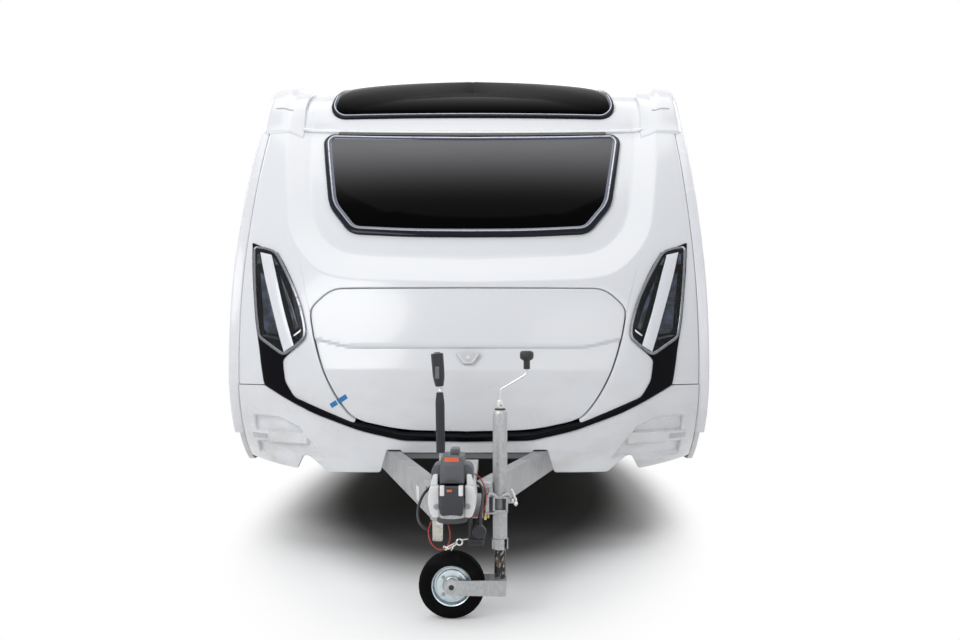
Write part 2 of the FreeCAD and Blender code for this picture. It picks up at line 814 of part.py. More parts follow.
def make_chassis():
    beams, rails = [], []
    for side, word in ((-1, "left"), (1, "right")):
        base = S.BeamTop - S.BeamHeight
        beam = channel("drawbar_" + word, "(RailPlane - BeamTip) / sin(%r)" % math.degrees(BEAM_SLOPE))
        doc.recompute()
        flat = beam.Shape.copy()
        if side > 0:
            flat = flat.mirror(Vec(0, 0, 0), Vec(1, 0, 0))
        flat.rotate(Vec(0, 0, 0), Vec(0, 0, 1), -side * math.degrees(BEAM_SLOPE))
        flat.translate(Vec(side * S.BeamTip, S.BeamTipY, base))
        beams.append(flat.common(box(-2000, 2000, S.BeamTipY, S.BeamEndY, 0, 1000)))
        rail = channel("rail_" + word, "RailEndY - BeamEndY")
        doc.recompute()
        flat = rail.Shape.copy()
        if side > 0:
            flat = flat.mirror(Vec(0, 0, 0), Vec(1, 0, 0))
        flat.translate(Vec(side * S.RailPlane, S.BeamEndY, base))
        rails.append(flat)
        rails.append(box(*across(side, S.RailPlane - S.RailFlange, S.RailPlane), S.BeamEndY, S.RailEndY,
                         S.BeamTop, S.FloorHeight))
    for y in (S.BeamEndY + 10, S.AxleY - 420, S.RailEndY - 60):
        rails.append(box(-S.RailPlane + S.RailSheet, S.RailPlane - S.RailSheet, y, y + 40,
                         S.BeamTop - S.BeamHeight + S.RailSheet, S.BeamTop - S.RailSheet))
    saddle = box(-S.BeamTip + 1, S.BeamTip - 1, S.BeamTipY, S.BeamTipY + S.HousingLength + 40, base,
                 base + S.SaddlePlate)
    node(shape("drawbar_shape", beams[0].fuse([beams[1], saddle]).removeSplitter()), "drawbar")
    node(shape("chassis_rails_shape", rails[0].fuse(rails[1:]).removeSplitter()), "chassis_rails")


def make_axle():
    """A rubber-sprung axle tube under the rails, with trailing arms out to the stub axles and drums."""
    pieces = []
    tube_y = S.AxleY - S.ArmLength
    tube_z = S.BeamTop - S.BeamHeight - S.AxleTube
    arm_x = S.WheelPlane - S.TyreWidth / 2 - 60
    pieces.append(Part.makeCylinder(S.AxleTube, 2 * arm_x, Vec(-arm_x, tube_y, tube_z), Vec(1, 0, 0)))
    for side in (-1, 1):
        low, high = across(side, arm_x - 40, arm_x)
        start = Part.makeCylinder(S.ArmHeight * 0.8, high - low, Vec(low, tube_y, tube_z), Vec(1, 0, 0))
        end = Part.makeCylinder(S.ArmHeight * 0.6, high - low, Vec(low, S.AxleY, S.TyreRadius), Vec(1, 0, 0))
        web = box(low, high, tube_y, S.AxleY, S.TyreRadius - S.ArmHeight / 2, S.TyreRadius + S.ArmHeight / 2)
        pieces += [start, end, web]
        drum_in, drum_out = arm_x, S.WheelPlane + S.RimDish - S.RunningGap - 12
        low, high = across(side, drum_in, drum_in + S.DrumWidth)
        drum = Part.makeCylinder(S.DrumRadius, high - low, Vec(low, S.AxleY, S.TyreRadius), Vec(1, 0, 0))
        low, high = across(side, drum_in, drum_out)
        hub = Part.makeCylinder(S.HubRadius, high - low, Vec(low, S.AxleY, S.TyreRadius), Vec(1, 0, 0))
        pieces += [drum, hub]
    node(shape("axle_shape", pieces[0].fuse(pieces[1:]).removeSplitter()), "axle")


def make_coupling():
    foot = "BeamTop - BeamHeight + SaddlePlate"
    housing = solid("Box", "overrun_block", ("-HousingHalf", "BeamTipY", foot), Length="2 * HousingHalf",
                    Width="HousingLength", Height="BeamHeight - SaddlePlate + HousingRise")
    saddle = solid("Box", "overrun_saddle", ("-HousingWide", "BeamTipY", "BeamTop"), Length="2 * HousingWide",
                   Width="HousingLength", Height="HousingRise")
    shaft = solid("Cylinder", "overrun_bellows", ("0", "BeamTipY - 60", "BallHeight"), ALONG_Y,
                  Radius="BellowsRadius", Height="60")
    glands = [solid("Cylinder", word + "_gland", (x, "BeamTipY - %s" % reach, "356"), ALONG_Y, Radius=radius,
                    Height="%s + 4" % reach)
              for word, x, reach, radius in (("lead", "-20", "26", "LeadSize / 2 + 3"),
                                             ("safety", "22", "20", "SafetySize / 2 + 2"))]
    node(fuse("overrun_housing_shape", [housing, saddle, shaft] + glands), "overrun_housing")
    front = -S.OverallLength / 2
    half = S.CouplingWidth / 2
    top = S.BallHeight + S.BlockRise
    block = column_x([(front, 424), (front, top - 6), (front + 10, top), (front + 270, top),
                      (front + 270, 396), (front + 40, 390)], -half, half)
    cover = column_x([(S.CoverFront, top), (S.CoverFront + 15, S.CoverTop - 13),
                      (S.CoverFront + 35, S.CoverTop), (S.CoverFront + 155, S.CoverTop - 2),
                      (S.CoverFront + 185, S.CoverTop - 28), (S.CoverFront + 195, top)], -half - 1, half + 1)
    shoulders = prism([(-62, 500), (62, 500), (62, 535), (50, 546), (-50, 546), (-62, 535)],
                      S.CoverFront + 25, S.CoverFront + 165)
    pad = [(S.PadInner, 515), (S.PadInner + 15, 515), (S.PadOuter - 6, 485), (S.PadOuter, 450),
           (S.PadOuter - 1, 420), (S.PadOuter - 13, S.PadFoot), (S.PadInner, S.PadFoot)]
    pads = [prism(points, S.CoverFront, S.CoverFront + 155) for points in (pad, other_side(pad))]
    axles = [Part.makeCylinder(8, 2 * S.PadOuter - 6, Vec(3 - S.PadOuter, S.CoverFront + 60, z), Vec(1, 0, 0))
             for z in (415, 505)]
    hanger = box(-67, -30, S.CoverFront + 97, S.CoverFront + 101, S.HangerFoot, S.PadFoot)
    grip = box(-8, 19, S.CoverFront + 45, S.CoverFront + 120, S.CoverTop - 10, S.CoverTop + S.CoverTab)
    bell = Part.makeCylinder(S.BellRadius, 80, Vec(0, front + S.BellSetback, S.BallHeight - 52))
    glands = [gland(LOOP_ROUTE, False, S.LeadSize / 2 + 3, 16),
              gland(LEAD_ROUTE, False, S.LeadSize / 2 + 3, 16),
              gland(SAFETY_ROUTE, False, S.SafetySize / 2 + 1.5, 14),
              gland(BREAKAWAY_ROUTE, False, S.SafetySize / 2 + 1.5, 16),
              gland(BREAKAWAY_ROUTE, True, S.SafetySize / 2 + 1.5, 18)]
    body = block.fuse([cover, shoulders, bell, grip, hanger] + pads + axles + glands)
    ball = Part.makeCylinder(S.BallSocket, 70, Vec(0, front + S.BellSetback, S.BallHeight - 60))
    node(shape("coupling_head_shape", body.cut(ball).removeSplitter()), "coupling_head")
    grip = solid("Cylinder", "handbrake_grip", ("HandbrakeX", "HandbrakeY", "HandbrakeTop - GripLength"),
                 Radius="GripRadius", Height="GripLength")
    neck = solid("Cylinder", "handbrake_neck", ("HandbrakeX", "HandbrakeY", "BeamTop + 50"), Radius="9",
                 Height="HandbrakeTop - GripLength - BeamTop - 40")
    sleeve = solid("Cylinder", "handbrake_sleeve", ("HandbrakeX", "HandbrakeY", "BeamTop + 90"),
                   Radius="SleeveRadius", Height="205")
    foot = solid("Box", "handbrake_foot", ("-HousingWide - 18", "HandbrakeY - 30", "BeamTop"), Length="18",
                 Width="60", Height="70")
    node(fuse("handbrake_lever_shape", [grip, neck, sleeve, foot]), "handbrake_lever")


# ---------------------------------------------------------------- cables
LOOP_ROUTE = [(-46, -3430, 464), (-64, -3433, 461), (-84, -3442, 450), (-101, -3458, 430), (-111, -3478, 404),
              (-113, -3499, 378), (-106, -3515, 357), (-91, -3523, 342), (-72, -3520, 335), (-54, -3506, 336),
              (-38, -3480, 343), (-26, -3443, 351), (-20, -3399, 356), (-20, -3356, 356)]
LEAD_ROUTE = [(46, -3430, 470), (62, -3431, 469.5), (77, -3439, 463.5), (86, -3454, 452), (89, -3477, 434),
              (87, -3501, 415), (83.5, -3522, 396), (80, -3536, 378), (78.5, -3542, 362)]
SAFETY_ROUTE = [(45, -3440, 500), (58, -3443, 499), (74, -3451, 490), (88, -3465, 473), (97, -3481, 449),
                (99, -3490, 423), (95, -3489, 398), (86, -3480, 379), (73, -3462, 366), (57, -3438, 359),
                (42, -3412, 356.5), (30, -3385, 356), (22, -3364, 356), (22, -3350, 356)]
BREAKAWAY_ROUTE = [(-63, -3485, 386), (-64, -3487, 375), (-67, -3496, 363), (-71, -3512, 353),
                   (-75, -3529, 343), (-76, -3543, 328), (-71, -3553, 312), (-62, -3559, 298),
                   (-49, -3561, 288), (-36, -3558, 284), (-24, -3551, 287), (-15, -3540, 296),
                   (-11, -3529, 309), (-11, -3519, 324), (-15, -3511, 341), (-21, -3505, 357),
                   (-26, -3501, 371), (-30, -3499, 383)]


def gland(route, at_end, radius, length):
    """The boss that a cable leaves, in line with the cable's first or last run."""
    points = [Vec(*p) for p in (route[::-1] if at_end else route)[:2]]
    return Part.makeCylinder(radius, length, points[0], points[0] - points[1])


def cable(label, route, size):
    """A tube of straight runs joined by tangent arcs; each arc takes 0.45 of its shorter run."""
    points = [Vec(*p) for p in route]
    edges, start, radii = [], points[0], []
    for before, corner, after in zip(points, points[1:], points[2:]):
        into, out = corner - before, after - corner
        leg = 0.45 * min(into.Length, out.Length)
        turn = into.getAngle(out)
        into.normalize()
        out.normalize()
        radius = leg / math.tan(turn / 2)
        inward = (out - into).normalize()
        middle = corner + inward * (radius / math.cos(turn / 2) - radius)
        first, last = corner - into * leg, corner + out * leg
        edges += [Part.LineSegment(start, first).toShape(), Part.Arc(first, middle, last).toShape()]
        start = last
        radii.append(radius)
    edges.append(Part.LineSegment(start, points[-1]).toShape())
    path = Part.Wire(edges)
    section = Part.Wire(Part.Circle(points[0], points[1] - points[0], size / 2).toShape())
    tube = Part.Wire(path).makePipeShell([section], True, False)
    ideal = math.pi * size * size / 4 * path.Length
    print("%s: length %.0f, volume %.4f of section times length, radii %s" % (
        label, path.Length, tube.Volume / ideal, " ".join("%.0f" % r for r in radii)))
    node(shape(label + "_shape", tube), label)


def make_cables():
    cable("cable_loop", LOOP_ROUTE, S.LeadSize)
    cable("cable_main", LEAD_ROUTE, S.LeadSize)
    cable("cable_safety", SAFETY_ROUTE, S.SafetySize)
    cable("cable_breakaway", BREAKAWAY_ROUTE, S.SafetySize)
    x, y, foot = S.PlugX, S.PlugY, S.PlugFoot
    plug = Part.makeCylinder(S.PlugRadius, LEAD_ROUTE[-1][2] - foot - 8, Vec(x, y, foot))
    neck = gland(LEAD_ROUTE, True, S.LeadSize / 2 + 2.5, 16)
    cap = Part.makeCylinder(20, 24, Vec(x, y - 6, foot + 25), Vec(0, -1, 0))
    node(shape("road_plug_shape", plug.fuse([neck, cap]).removeSplitter()), "road_plug")
    base = box(45.5, 94, y - 21, y + 20, foot - 20, foot)
    post = box(45.5, 57, y - 14, y + 8, foot - 20, S.PadFoot)
    node(shape("plug_holder_shape", base.fuse(post).removeSplitter()), "plug_holder")
    tip, ring = Vec(49, y + 4, foot - 4), Vec(18, y + 4, 303)
    eye, along = Vec(-24.5, -3550, 287.5), Vec(21, 18, 12).normalize()
    to_ring = ring - eye
    from_eye = eye + (to_ring - along * to_ring.dot(along)).normalize() * 6
    to_eye = Vec(from_eye.x - ring.x, 0, from_eye.z - ring.z).normalize() * 9 + ring
    arm = Part.makeCylinder(2, (ring - tip).Length - 9, tip, ring - tip).cut(base)
    loop = Part.makeTorus(9, 2, ring, Vec(0, 1, 0))
    hook = Part.makeTorus(6, 1.8, eye, along)
    shank = Part.makeCylinder(2, (to_eye - from_eye).Length, from_eye, to_eye - from_eye)
    node(shape("breakaway_clip_shape", arm.fuse([loop, shank, hook]).removeSplitter()), "breakaway_clip")


# ---------------------------------------------------------------- jockey wheel
def make_jockey():
    axis = ("JockeyX", "JockeyY")
    tube = solid("Cylinder", "jockey_pipe", axis + ("JockeyFoot",), Radius="JockeyTube",
                 Height="JockeyTop - JockeyFoot")
    bore = solid("Cylinder", "jockey_tube_bore", axis + ("JockeyFoot + 60",), Radius="JockeyBore",
                 Height="JockeyTop - JockeyFoot - 75")
    guide = solid("Cylinder", "jockey_tube_guide", axis + ("JockeyFoot - 5",), Radius="JockeyStem + 0.3",
                  Height="70")
    node(cut("jockey_tube_shape", tube, [bore, guide]), "jockey_tube")
    clamp = solid("Box", "jockey_clamp_block", ("JockeyX - ClampHalf", "JockeyY - ClampHalf", "ClampFoot"),
                  Length="2 * ClampHalf", Width="2 * ClampHalf", Height="ClampHeight")
    arm = solid("Box", "jockey_clamp_arm", ("BeamTip + 16", "JockeyY - 25", "ClampFoot"),
                Length="JockeyX - BeamTip - 16", Width="50", Height="ClampHeight")
    ear = solid("Box", "jockey_clamp_ear", ("BeamTip + 4", "JockeyY - 20", "BeamTop"),
                Length="28", Width="40", Height="14")
    web = solid("Box", "jockey_clamp_web", ("BeamTip + 16", "JockeyY - 20", "ClampFoot"),
                Length="12", Width="40", Height="BeamTop + 14 - ClampFoot")
    bolt = solid("Cylinder", "jockey_clamp_bolt", ("JockeyX + ClampHalf - 2", "JockeyY - 10",
                                                   "ClampFoot + 40"), ALONG_X, Radius="6", Height="34")
    wing = solid("Box", "jockey_clamp_wing", ("JockeyX + ClampHalf + 24", "JockeyY - 14", "ClampFoot + 20"),
                 Length="7", Width="8", Height="44")
    hole = solid("Cylinder", "jockey_clamp_hole", axis + ("ClampFoot - 5",), Radius="JockeyTube",
                 Height="ClampHeight + 10")
    body = fuse("jockey_clamp_body", [clamp, arm, ear, web, bolt, wing])
    node(cut("jockey_clamp_shape", body, [hole]), "jockey_clamp")
    boss = solid("Cylinder", "crank_boss", axis + ("JockeyTop",), Radius="10", Height="20")
    stub = solid("Cylinder", "crank_stub", axis + ("JockeyTop",), Radius="5", Height="42")
    rod = solid("Cylinder", "crank_rod", axis + ("JockeyTop + 40",), ((0, 1, 0), 53), Radius="5",
                Height="CrankReach / sin(53)")
    neck = solid("Cylinder", "crank_neck", ("JockeyX + CrankReach", "JockeyY", "JockeyTop + CrankRise - 4"),
                 Radius="5", Height="30")
    spindle = solid("Cylinder", "crank_spindle", ("JockeyX + CrankReach", "JockeyY",
                                                  "JockeyTop + CrankRise + 14"), Radius="11.5", Height="32")
    knob = solid("Cylinder", "crank_knob", ("JockeyX + CrankReach", "JockeyY", "JockeyTop + CrankRise + 44"),
                 Radius="23", Height="31")
    node(fuse("jockey_crank_shape", [boss, stub, rod, neck, spindle, knob]), "jockey_crank")
    node(solid("Cylinder", "jockey_stem_shape", axis + ("JockeyForkTop",), Radius="JockeyStem",
               Height="JockeyStemLength"), "jockey_stem")
    half = S.JockeyWidth / 2 + S.ForkGap
    hub_x = S.JockeyX - S.JockeyTrail
    arms = [box(S.JockeyX - 22, S.JockeyX + 22, S.JockeyY - half - S.ForkArm, S.JockeyY + half + S.ForkArm,
                S.JockeyForkTop - S.RunningGap - S.ForkArm, S.JockeyForkTop - S.RunningGap)]
    for side in (-1, 1):
        y0 = S.JockeyY + side * (half + S.ForkArm / 2) - S.ForkArm / 2
        top = S.JockeyForkTop - S.RunningGap
        bar = [Vec(S.JockeyX + 22, y0, top), Vec(S.JockeyX + 18, y0, top - S.ForkHeight),
               Vec(hub_x, y0, S.JockeyRadius - S.ForkHeight / 2),
               Vec(hub_x, y0, S.JockeyRadius + S.ForkHeight / 2 - 5),
               Vec(S.JockeyX - 22, y0, top)]
        bar = face(lines(bar)).extrude(Vec(0, S.ForkArm, 0))
        arms.append(bar.fuse(Part.makeCylinder(S.ForkHeight / 2, S.ForkArm, Vec(hub_x, y0, S.JockeyRadius),
                                               Vec(0, 1, 0))))
    arms.append(Part.makeCylinder(S.JockeyAxle - 0.3, 2 * half, Vec(hub_x, S.JockeyY - half, S.JockeyRadius),
                                  Vec(0, 1, 0)))
    node(shape("jockey_fork_shape", arms[0].fuse(arms[1:]).removeSplitter()), "jockey_fork")


def turned(name, rows, centre, along_y=False):
    """A turned body: rows give radius and place along the axle, as expressions of the sheet."""
    body = doc.addObject("PartDesign::Body", name)
    sketch = body.newObject("Sketcher::SketchObject", name + "_section")
    plane = [f for f in body.Origin.OriginFeatures if f.Role == "XZ_Plane"][0]
    sketch.AttachmentSupport = [(plane, "")]
    sketch.MapMode = "FlatFace"
    count = len(rows)
    for index in range(count):
        sketch.addGeometry(Part.LineSegment(Vec(50 + index, index, 0), Vec(51 + index, index + 1, 0)), False)
    for index, (radius, along) in enumerate(rows):
        sketch.addConstraint(Sketcher.Constraint("Coincident", index, 2, (index + 1) % count, 1))
        for kind, text in (("DistanceX", radius), ("DistanceY", along)):
            number = sketch.addConstraint(Sketcher.Constraint(kind, -1, 1, index, 1, 10.0 + index))
            bind(sketch, "Constraints[%d]" % number, text)
    turn = body.newObject("PartDesign::Revolution", name + "_turn")
    turn.Profile = sketch
    turn.ReferenceAxis = (sketch, ["V_Axis"])
    turn.Angle = 360
    axis, angle = ALONG_Y if along_y else ALONG_X
    body.Placement = FreeCAD.Placement(Vec(0, 0, 0), FreeCAD.Rotation(Vec(*axis), angle))
    for letter, text in zip("xyz", centre):
        bind(body, "Placement.Base." + letter, text)
    return body


def make_wheels():
    for side, word in ((-1, "left"), (1, "right")):
        sign = "" if side > 0 else "-"
        centre = (sign + "WheelPlane", "AxleY", "TyreRadius")

        def out(text):
            return text if side > 0 else "-(%s)" % text

        tyre = [("RimRadius", out("RimWidth / 2 + 4")), ("RimRadius + 14", out("RimWidth / 2 + 12")),
                ("RimRadius + 70", out("TyreWidth / 2")), ("TyreRadius - 40", out("TyreWidth / 2 - 3")),
                ("TyreRadius - 12", out("TyreWidth / 2 - 16")), ("TyreRadius - 1", out("TyreWidth / 2 - 36")),
                ("TyreRadius", out("0")),
                ("TyreRadius - 1", out("-TyreWidth / 2 + 36")),
                ("TyreRadius - 12", out("-TyreWidth / 2 + 16")),
                ("TyreRadius - 40", out("-TyreWidth / 2 + 3")), ("RimRadius + 70", out("-TyreWidth / 2")),
                ("RimRadius + 14", out("-RimWidth / 2 - 12")), ("RimRadius", out("-RimWidth / 2 - 4"))]
        node(turned("tyre_%s_body" % word, tyre, centre), "tyre_" + word)
        rim = [("RimRadius", out("RimWidth / 2 + 4")), ("RimRadius - 14", out("RimWidth / 2 + 4")),
               ("RimRadius - 20", out("RimDish + 6")), ("80", out("RimDish + 6")),
               ("70", out("RimDish + 14")), ("30", out("RimDish + 14")), ("30", out("RimDish - 12")),
               ("RimRadius - 30", out("RimDish - 12")),
               ("RimRadius - 26", out("-RimWidth / 2 - 4")), ("RimRadius", out("-RimWidth / 2 - 4"))]
        node(turned("rim_%s_body" % word, rim, centre), "rim_" + word)
    hub = ("JockeyX - JockeyTrail", "JockeyY", "JockeyRadius")
    tyre = [("JockeyRim", "JockeyWidth / 2 - 6"), ("JockeyRadius - 22", "JockeyWidth / 2"),
            ("JockeyRadius - 8", "JockeyWidth / 2 - 8"), ("JockeyRadius", "JockeyWidth / 2 - 22"),
            ("JockeyRadius", "-JockeyWidth / 2 + 22"), ("JockeyRadius - 8", "-JockeyWidth / 2 + 8"),
            ("JockeyRadius - 22", "-JockeyWidth / 2"), ("JockeyRim", "-JockeyWidth / 2 + 6")]
    node(turned("jockey_tyre_body", tyre, hub, True), "jockey_tyre")
    rim = [("JockeyRim", "JockeyWidth / 2 - 6"), ("JockeyRim - 12", "JockeyWidth / 2 - 6"), ("40", "12"),
           ("22", "12"), ("22", "JockeyWidth / 2 + ForkGap - 0.5"),
           ("JockeyAxle", "JockeyWidth / 2 + ForkGap - 0.5"),
           ("JockeyAxle", "-JockeyWidth / 2 - ForkGap + 0.5"), ("22", "-JockeyWidth / 2 - ForkGap + 0.5"),
           ("22", "-12"), ("40", "-12"), ("JockeyRim - 12", "-JockeyWidth / 2 + 6"),
           ("JockeyRim", "-JockeyWidth / 2 + 6")]
    node(turned("jockey_rim_body", rim, hub, True), "jockey_rim")


# ---------------------------------------------------------------- corner steadies
#           word           side  end
STEADIES = (("front_left", -1, -1), ("front_right", 1, -1), ("rear_left", -1, 1), ("rear_right", 1, 1))


def make_steadies():
    mounts = []
    for word, side, end in STEADIES:
        x = side * S.SteadyPlane
        y = S.SteadyFrontY if end < 0 else S.SteadyRearY
        z = S.SteadyPivot
        half = S.SteadyWidth / 2
        span = sorted((y, y + end * S.SteadyLength))
        leg = box(x - half, x + half, span[0], span[1], z - S.SteadyDepth / 2, z + S.SteadyDepth / 2)
        hollow = sorted((y + end * 30, y + end * (S.SteadyLength - 12)))
        leg = leg.cut(box(x - half + S.SteadySheet, x + half - S.SteadySheet, hollow[0], hollow[1],
                          z - S.SteadyDepth / 2 + S.SteadySheet, z + S.SteadyDepth))
        boss = Part.makeCylinder(S.SteadyDepth / 2, 2 * half + 9.4, Vec(x - half - 4.7, y, z), Vec(1, 0, 0))
        foot_y = sorted((y + end * (S.SteadyLength - 60), y + end * (S.SteadyLength + 14)))
        foot = box(x - half - 12, x + half + 12, foot_y[0], foot_y[1], z - S.SteadyDepth / 2 - 5,
                   z - S.SteadyDepth / 2)
        node(shape("steady_%s_shape" % word, leg.fuse([boss, foot]).removeSplitter()), "steady_" + word)
        top = S.FloorHeight
        for cheek in (-1, 1):
            low = x + cheek * (half + 5 + S.SteadyCheek / 2) - S.SteadyCheek / 2
            mounts.append(box(low, low + S.SteadyCheek, y - 28, y + 28, z - 26, top))
        reach = half + 5 + S.SteadyCheek
        ends = sorted((y - end * 28, y + end * (S.SteadyLength + 60)))
        mounts.append(box(x - reach, x + reach, ends[0], ends[1], top - 6, top))
        mounts.append(box(x - reach, x + reach, y - 28, y + 28, top - 12, top))
    groups = [mounts[i].fuse(mounts[i + 1:i + 4]).removeSplitter() for i in range(0, len(mounts), 4)]
    node(shape("steady_mounts_shape", Part.makeCompound(groups)), "steady_mounts")


# ---------------------------------------------------------------- build, check and write
make_side_walls()
make_front_panel()
make_front_bumper()
make_roof()
make_rear_panel()
make_floor()
make_wheel_boxes()
make_skirts()
make_rails()
make_shoulder_caps()
make_glazing()
make_lamps()
make_entrance_door()
make_locker()
make_hatches()
make_chassis()
make_axle()
make_coupling()
make_cables()
make_jockey()
make_wheels()
make_steadies()
doc.recompute()

for obj in doc.Objects:
    if {"Invalid", "Error"} & set(obj.State):
        raise RuntimeError("%s did not build: %s" % (obj.Name, obj.State))
os.makedirs("parts", exist_ok=True)
for obj in nodes:
    if obj.Shape.isNull() or not obj.Shape.isValid():
        raise RuntimeError("%s has no valid shape" % obj.Label)
    if not obj.Shape.Solids:
        raise RuntimeError("%s has no solid" % obj.Label)
    obj.Shape.exportStep("parts/%s.step" % obj.Label)
    b = obj.Shape.BoundBox
    print("%-20s solids %d faces %4d volume %.6f m3  x %.0f..%.0f y %.0f..%.0f z %.0f..%.0f" % (
        obj.Label, len(obj.Shape.Solids), len(obj.Shape.Faces), obj.Shape.Volume / 1e9,
        b.XMin, b.XMax, b.YMin, b.YMax, b.ZMin, b.ZMax))
print(len(nodes), "pieces")
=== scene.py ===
"""A single-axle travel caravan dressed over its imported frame.

Metres throughout. The drawbar points along -Y, +Z is up, +X is the entrance side, and the ground is z = 0.
"""
import math
import bmesh
import bpy
import numpy as np
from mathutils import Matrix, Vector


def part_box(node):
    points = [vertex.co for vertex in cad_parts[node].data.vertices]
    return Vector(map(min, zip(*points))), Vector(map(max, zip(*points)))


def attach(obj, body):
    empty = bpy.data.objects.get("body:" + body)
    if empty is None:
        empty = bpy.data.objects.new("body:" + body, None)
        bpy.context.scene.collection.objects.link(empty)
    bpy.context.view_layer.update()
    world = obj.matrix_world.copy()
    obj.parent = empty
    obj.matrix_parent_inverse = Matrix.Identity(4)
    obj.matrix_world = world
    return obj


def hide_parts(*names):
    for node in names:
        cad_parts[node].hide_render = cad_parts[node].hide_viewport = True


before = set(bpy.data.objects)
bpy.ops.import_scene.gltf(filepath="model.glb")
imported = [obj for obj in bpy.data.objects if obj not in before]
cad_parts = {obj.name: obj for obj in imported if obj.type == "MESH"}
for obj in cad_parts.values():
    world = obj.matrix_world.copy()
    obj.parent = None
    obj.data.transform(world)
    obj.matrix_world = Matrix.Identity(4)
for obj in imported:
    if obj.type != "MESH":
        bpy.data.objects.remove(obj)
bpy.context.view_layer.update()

SCENE = bpy.context.scene

# Half widths of the walls, panels and rails. Places and heights of the body's ends, and depths in them.
HALF, PANEL, PROUD = 1.12, 1.088, 1.14
NOSE_Y, SIDE_Y, WAIST, ROOF, SKIRT = -2.36, -2.09, 0.8, 2.581, 0.345
TAIL_Y, TAIL_LEAD = 3.646, 0.06
EDGE, SHELF = 0.02, 0.06
HEAD, SILL, SKIRT_TOP, ROOF_JOINT = 2.062, 0.733, 0.5, -0.694
BODY_CORE = np.array([0.0, 0.6, 1.35])
RIGHT, UP = (1, 0, 0), (0, 0, 1)
WELD = 2e-5


# ---------------------------------------------------------------- lines and surfaces
def rounded(corners, radius, leg=6, bend=6):
    """A line through corners in two or three dimensions, each inner corner rounded off.

    A corner's curve is (1 - t)^2 a + 2 t (1 - t) corner + t^2 b, where a and b lie on its legs a radius
    before and after it, or half a leg where that is shorter. radius is one number or one for each corner.
    """
    corners = np.asarray(corners, float)
    radius = np.broadcast_to(radius, len(corners))
    t = np.linspace(0, 1, bend, endpoint=False)[:, None]
    steps = np.linspace(0, 1, leg, endpoint=False)[:, None]
    start, found = corners[0], []
    for before, corner, after, r in zip(corners, corners[1:], corners[2:], radius[1:]):
        a = corner + (before - corner) * min(0.49, r / np.linalg.norm(before - corner))
        b = corner + (after - corner) * min(0.49, r / np.linalg.norm(after - corner))
        found += [start + (a - start) * steps, (1 - t) ** 2 * a + 2 * t * (1 - t) * corner + t ** 2 * b]
        start = b
    found += [start + (corners[-1] - start) * steps, corners[-1:]]
    return np.concatenate(found)


def even(line, count):
    """The same line with points at equal steps of its length."""
    line = np.asarray(line, float)
    steps = np.linalg.norm(np.diff(line, axis=0), axis=1)
    length = np.concatenate([[0], np.cumsum(steps)])
    at = np.linspace(0, length[-1], count)
    return np.stack([np.interp(at, length, line[:, k]) for k in range(line.shape[1])], 1)


def shut(line):
    """A closed line, with its first point again at its end."""
    return np.concatenate([line, line[:1]])


def unit(way):
    """A direction, or each row of directions, at length 1."""
    way = np.asarray(way, float)
    return way / np.linalg.norm(way, axis=-1, keepdims=True)


def nearest(line, place):
    """The number of the line's point that is nearest to a place."""
    return int(np.argmin(np.linalg.norm(line - place, axis=1)))


def smooth(a, b, x):
    """0 up to a, 1 from b, and 3 t^2 - 2 t^3 between them."""
    t = np.clip((x - a) / (b - a), 0, 1)
    return t * t * (3 - 2 * t)


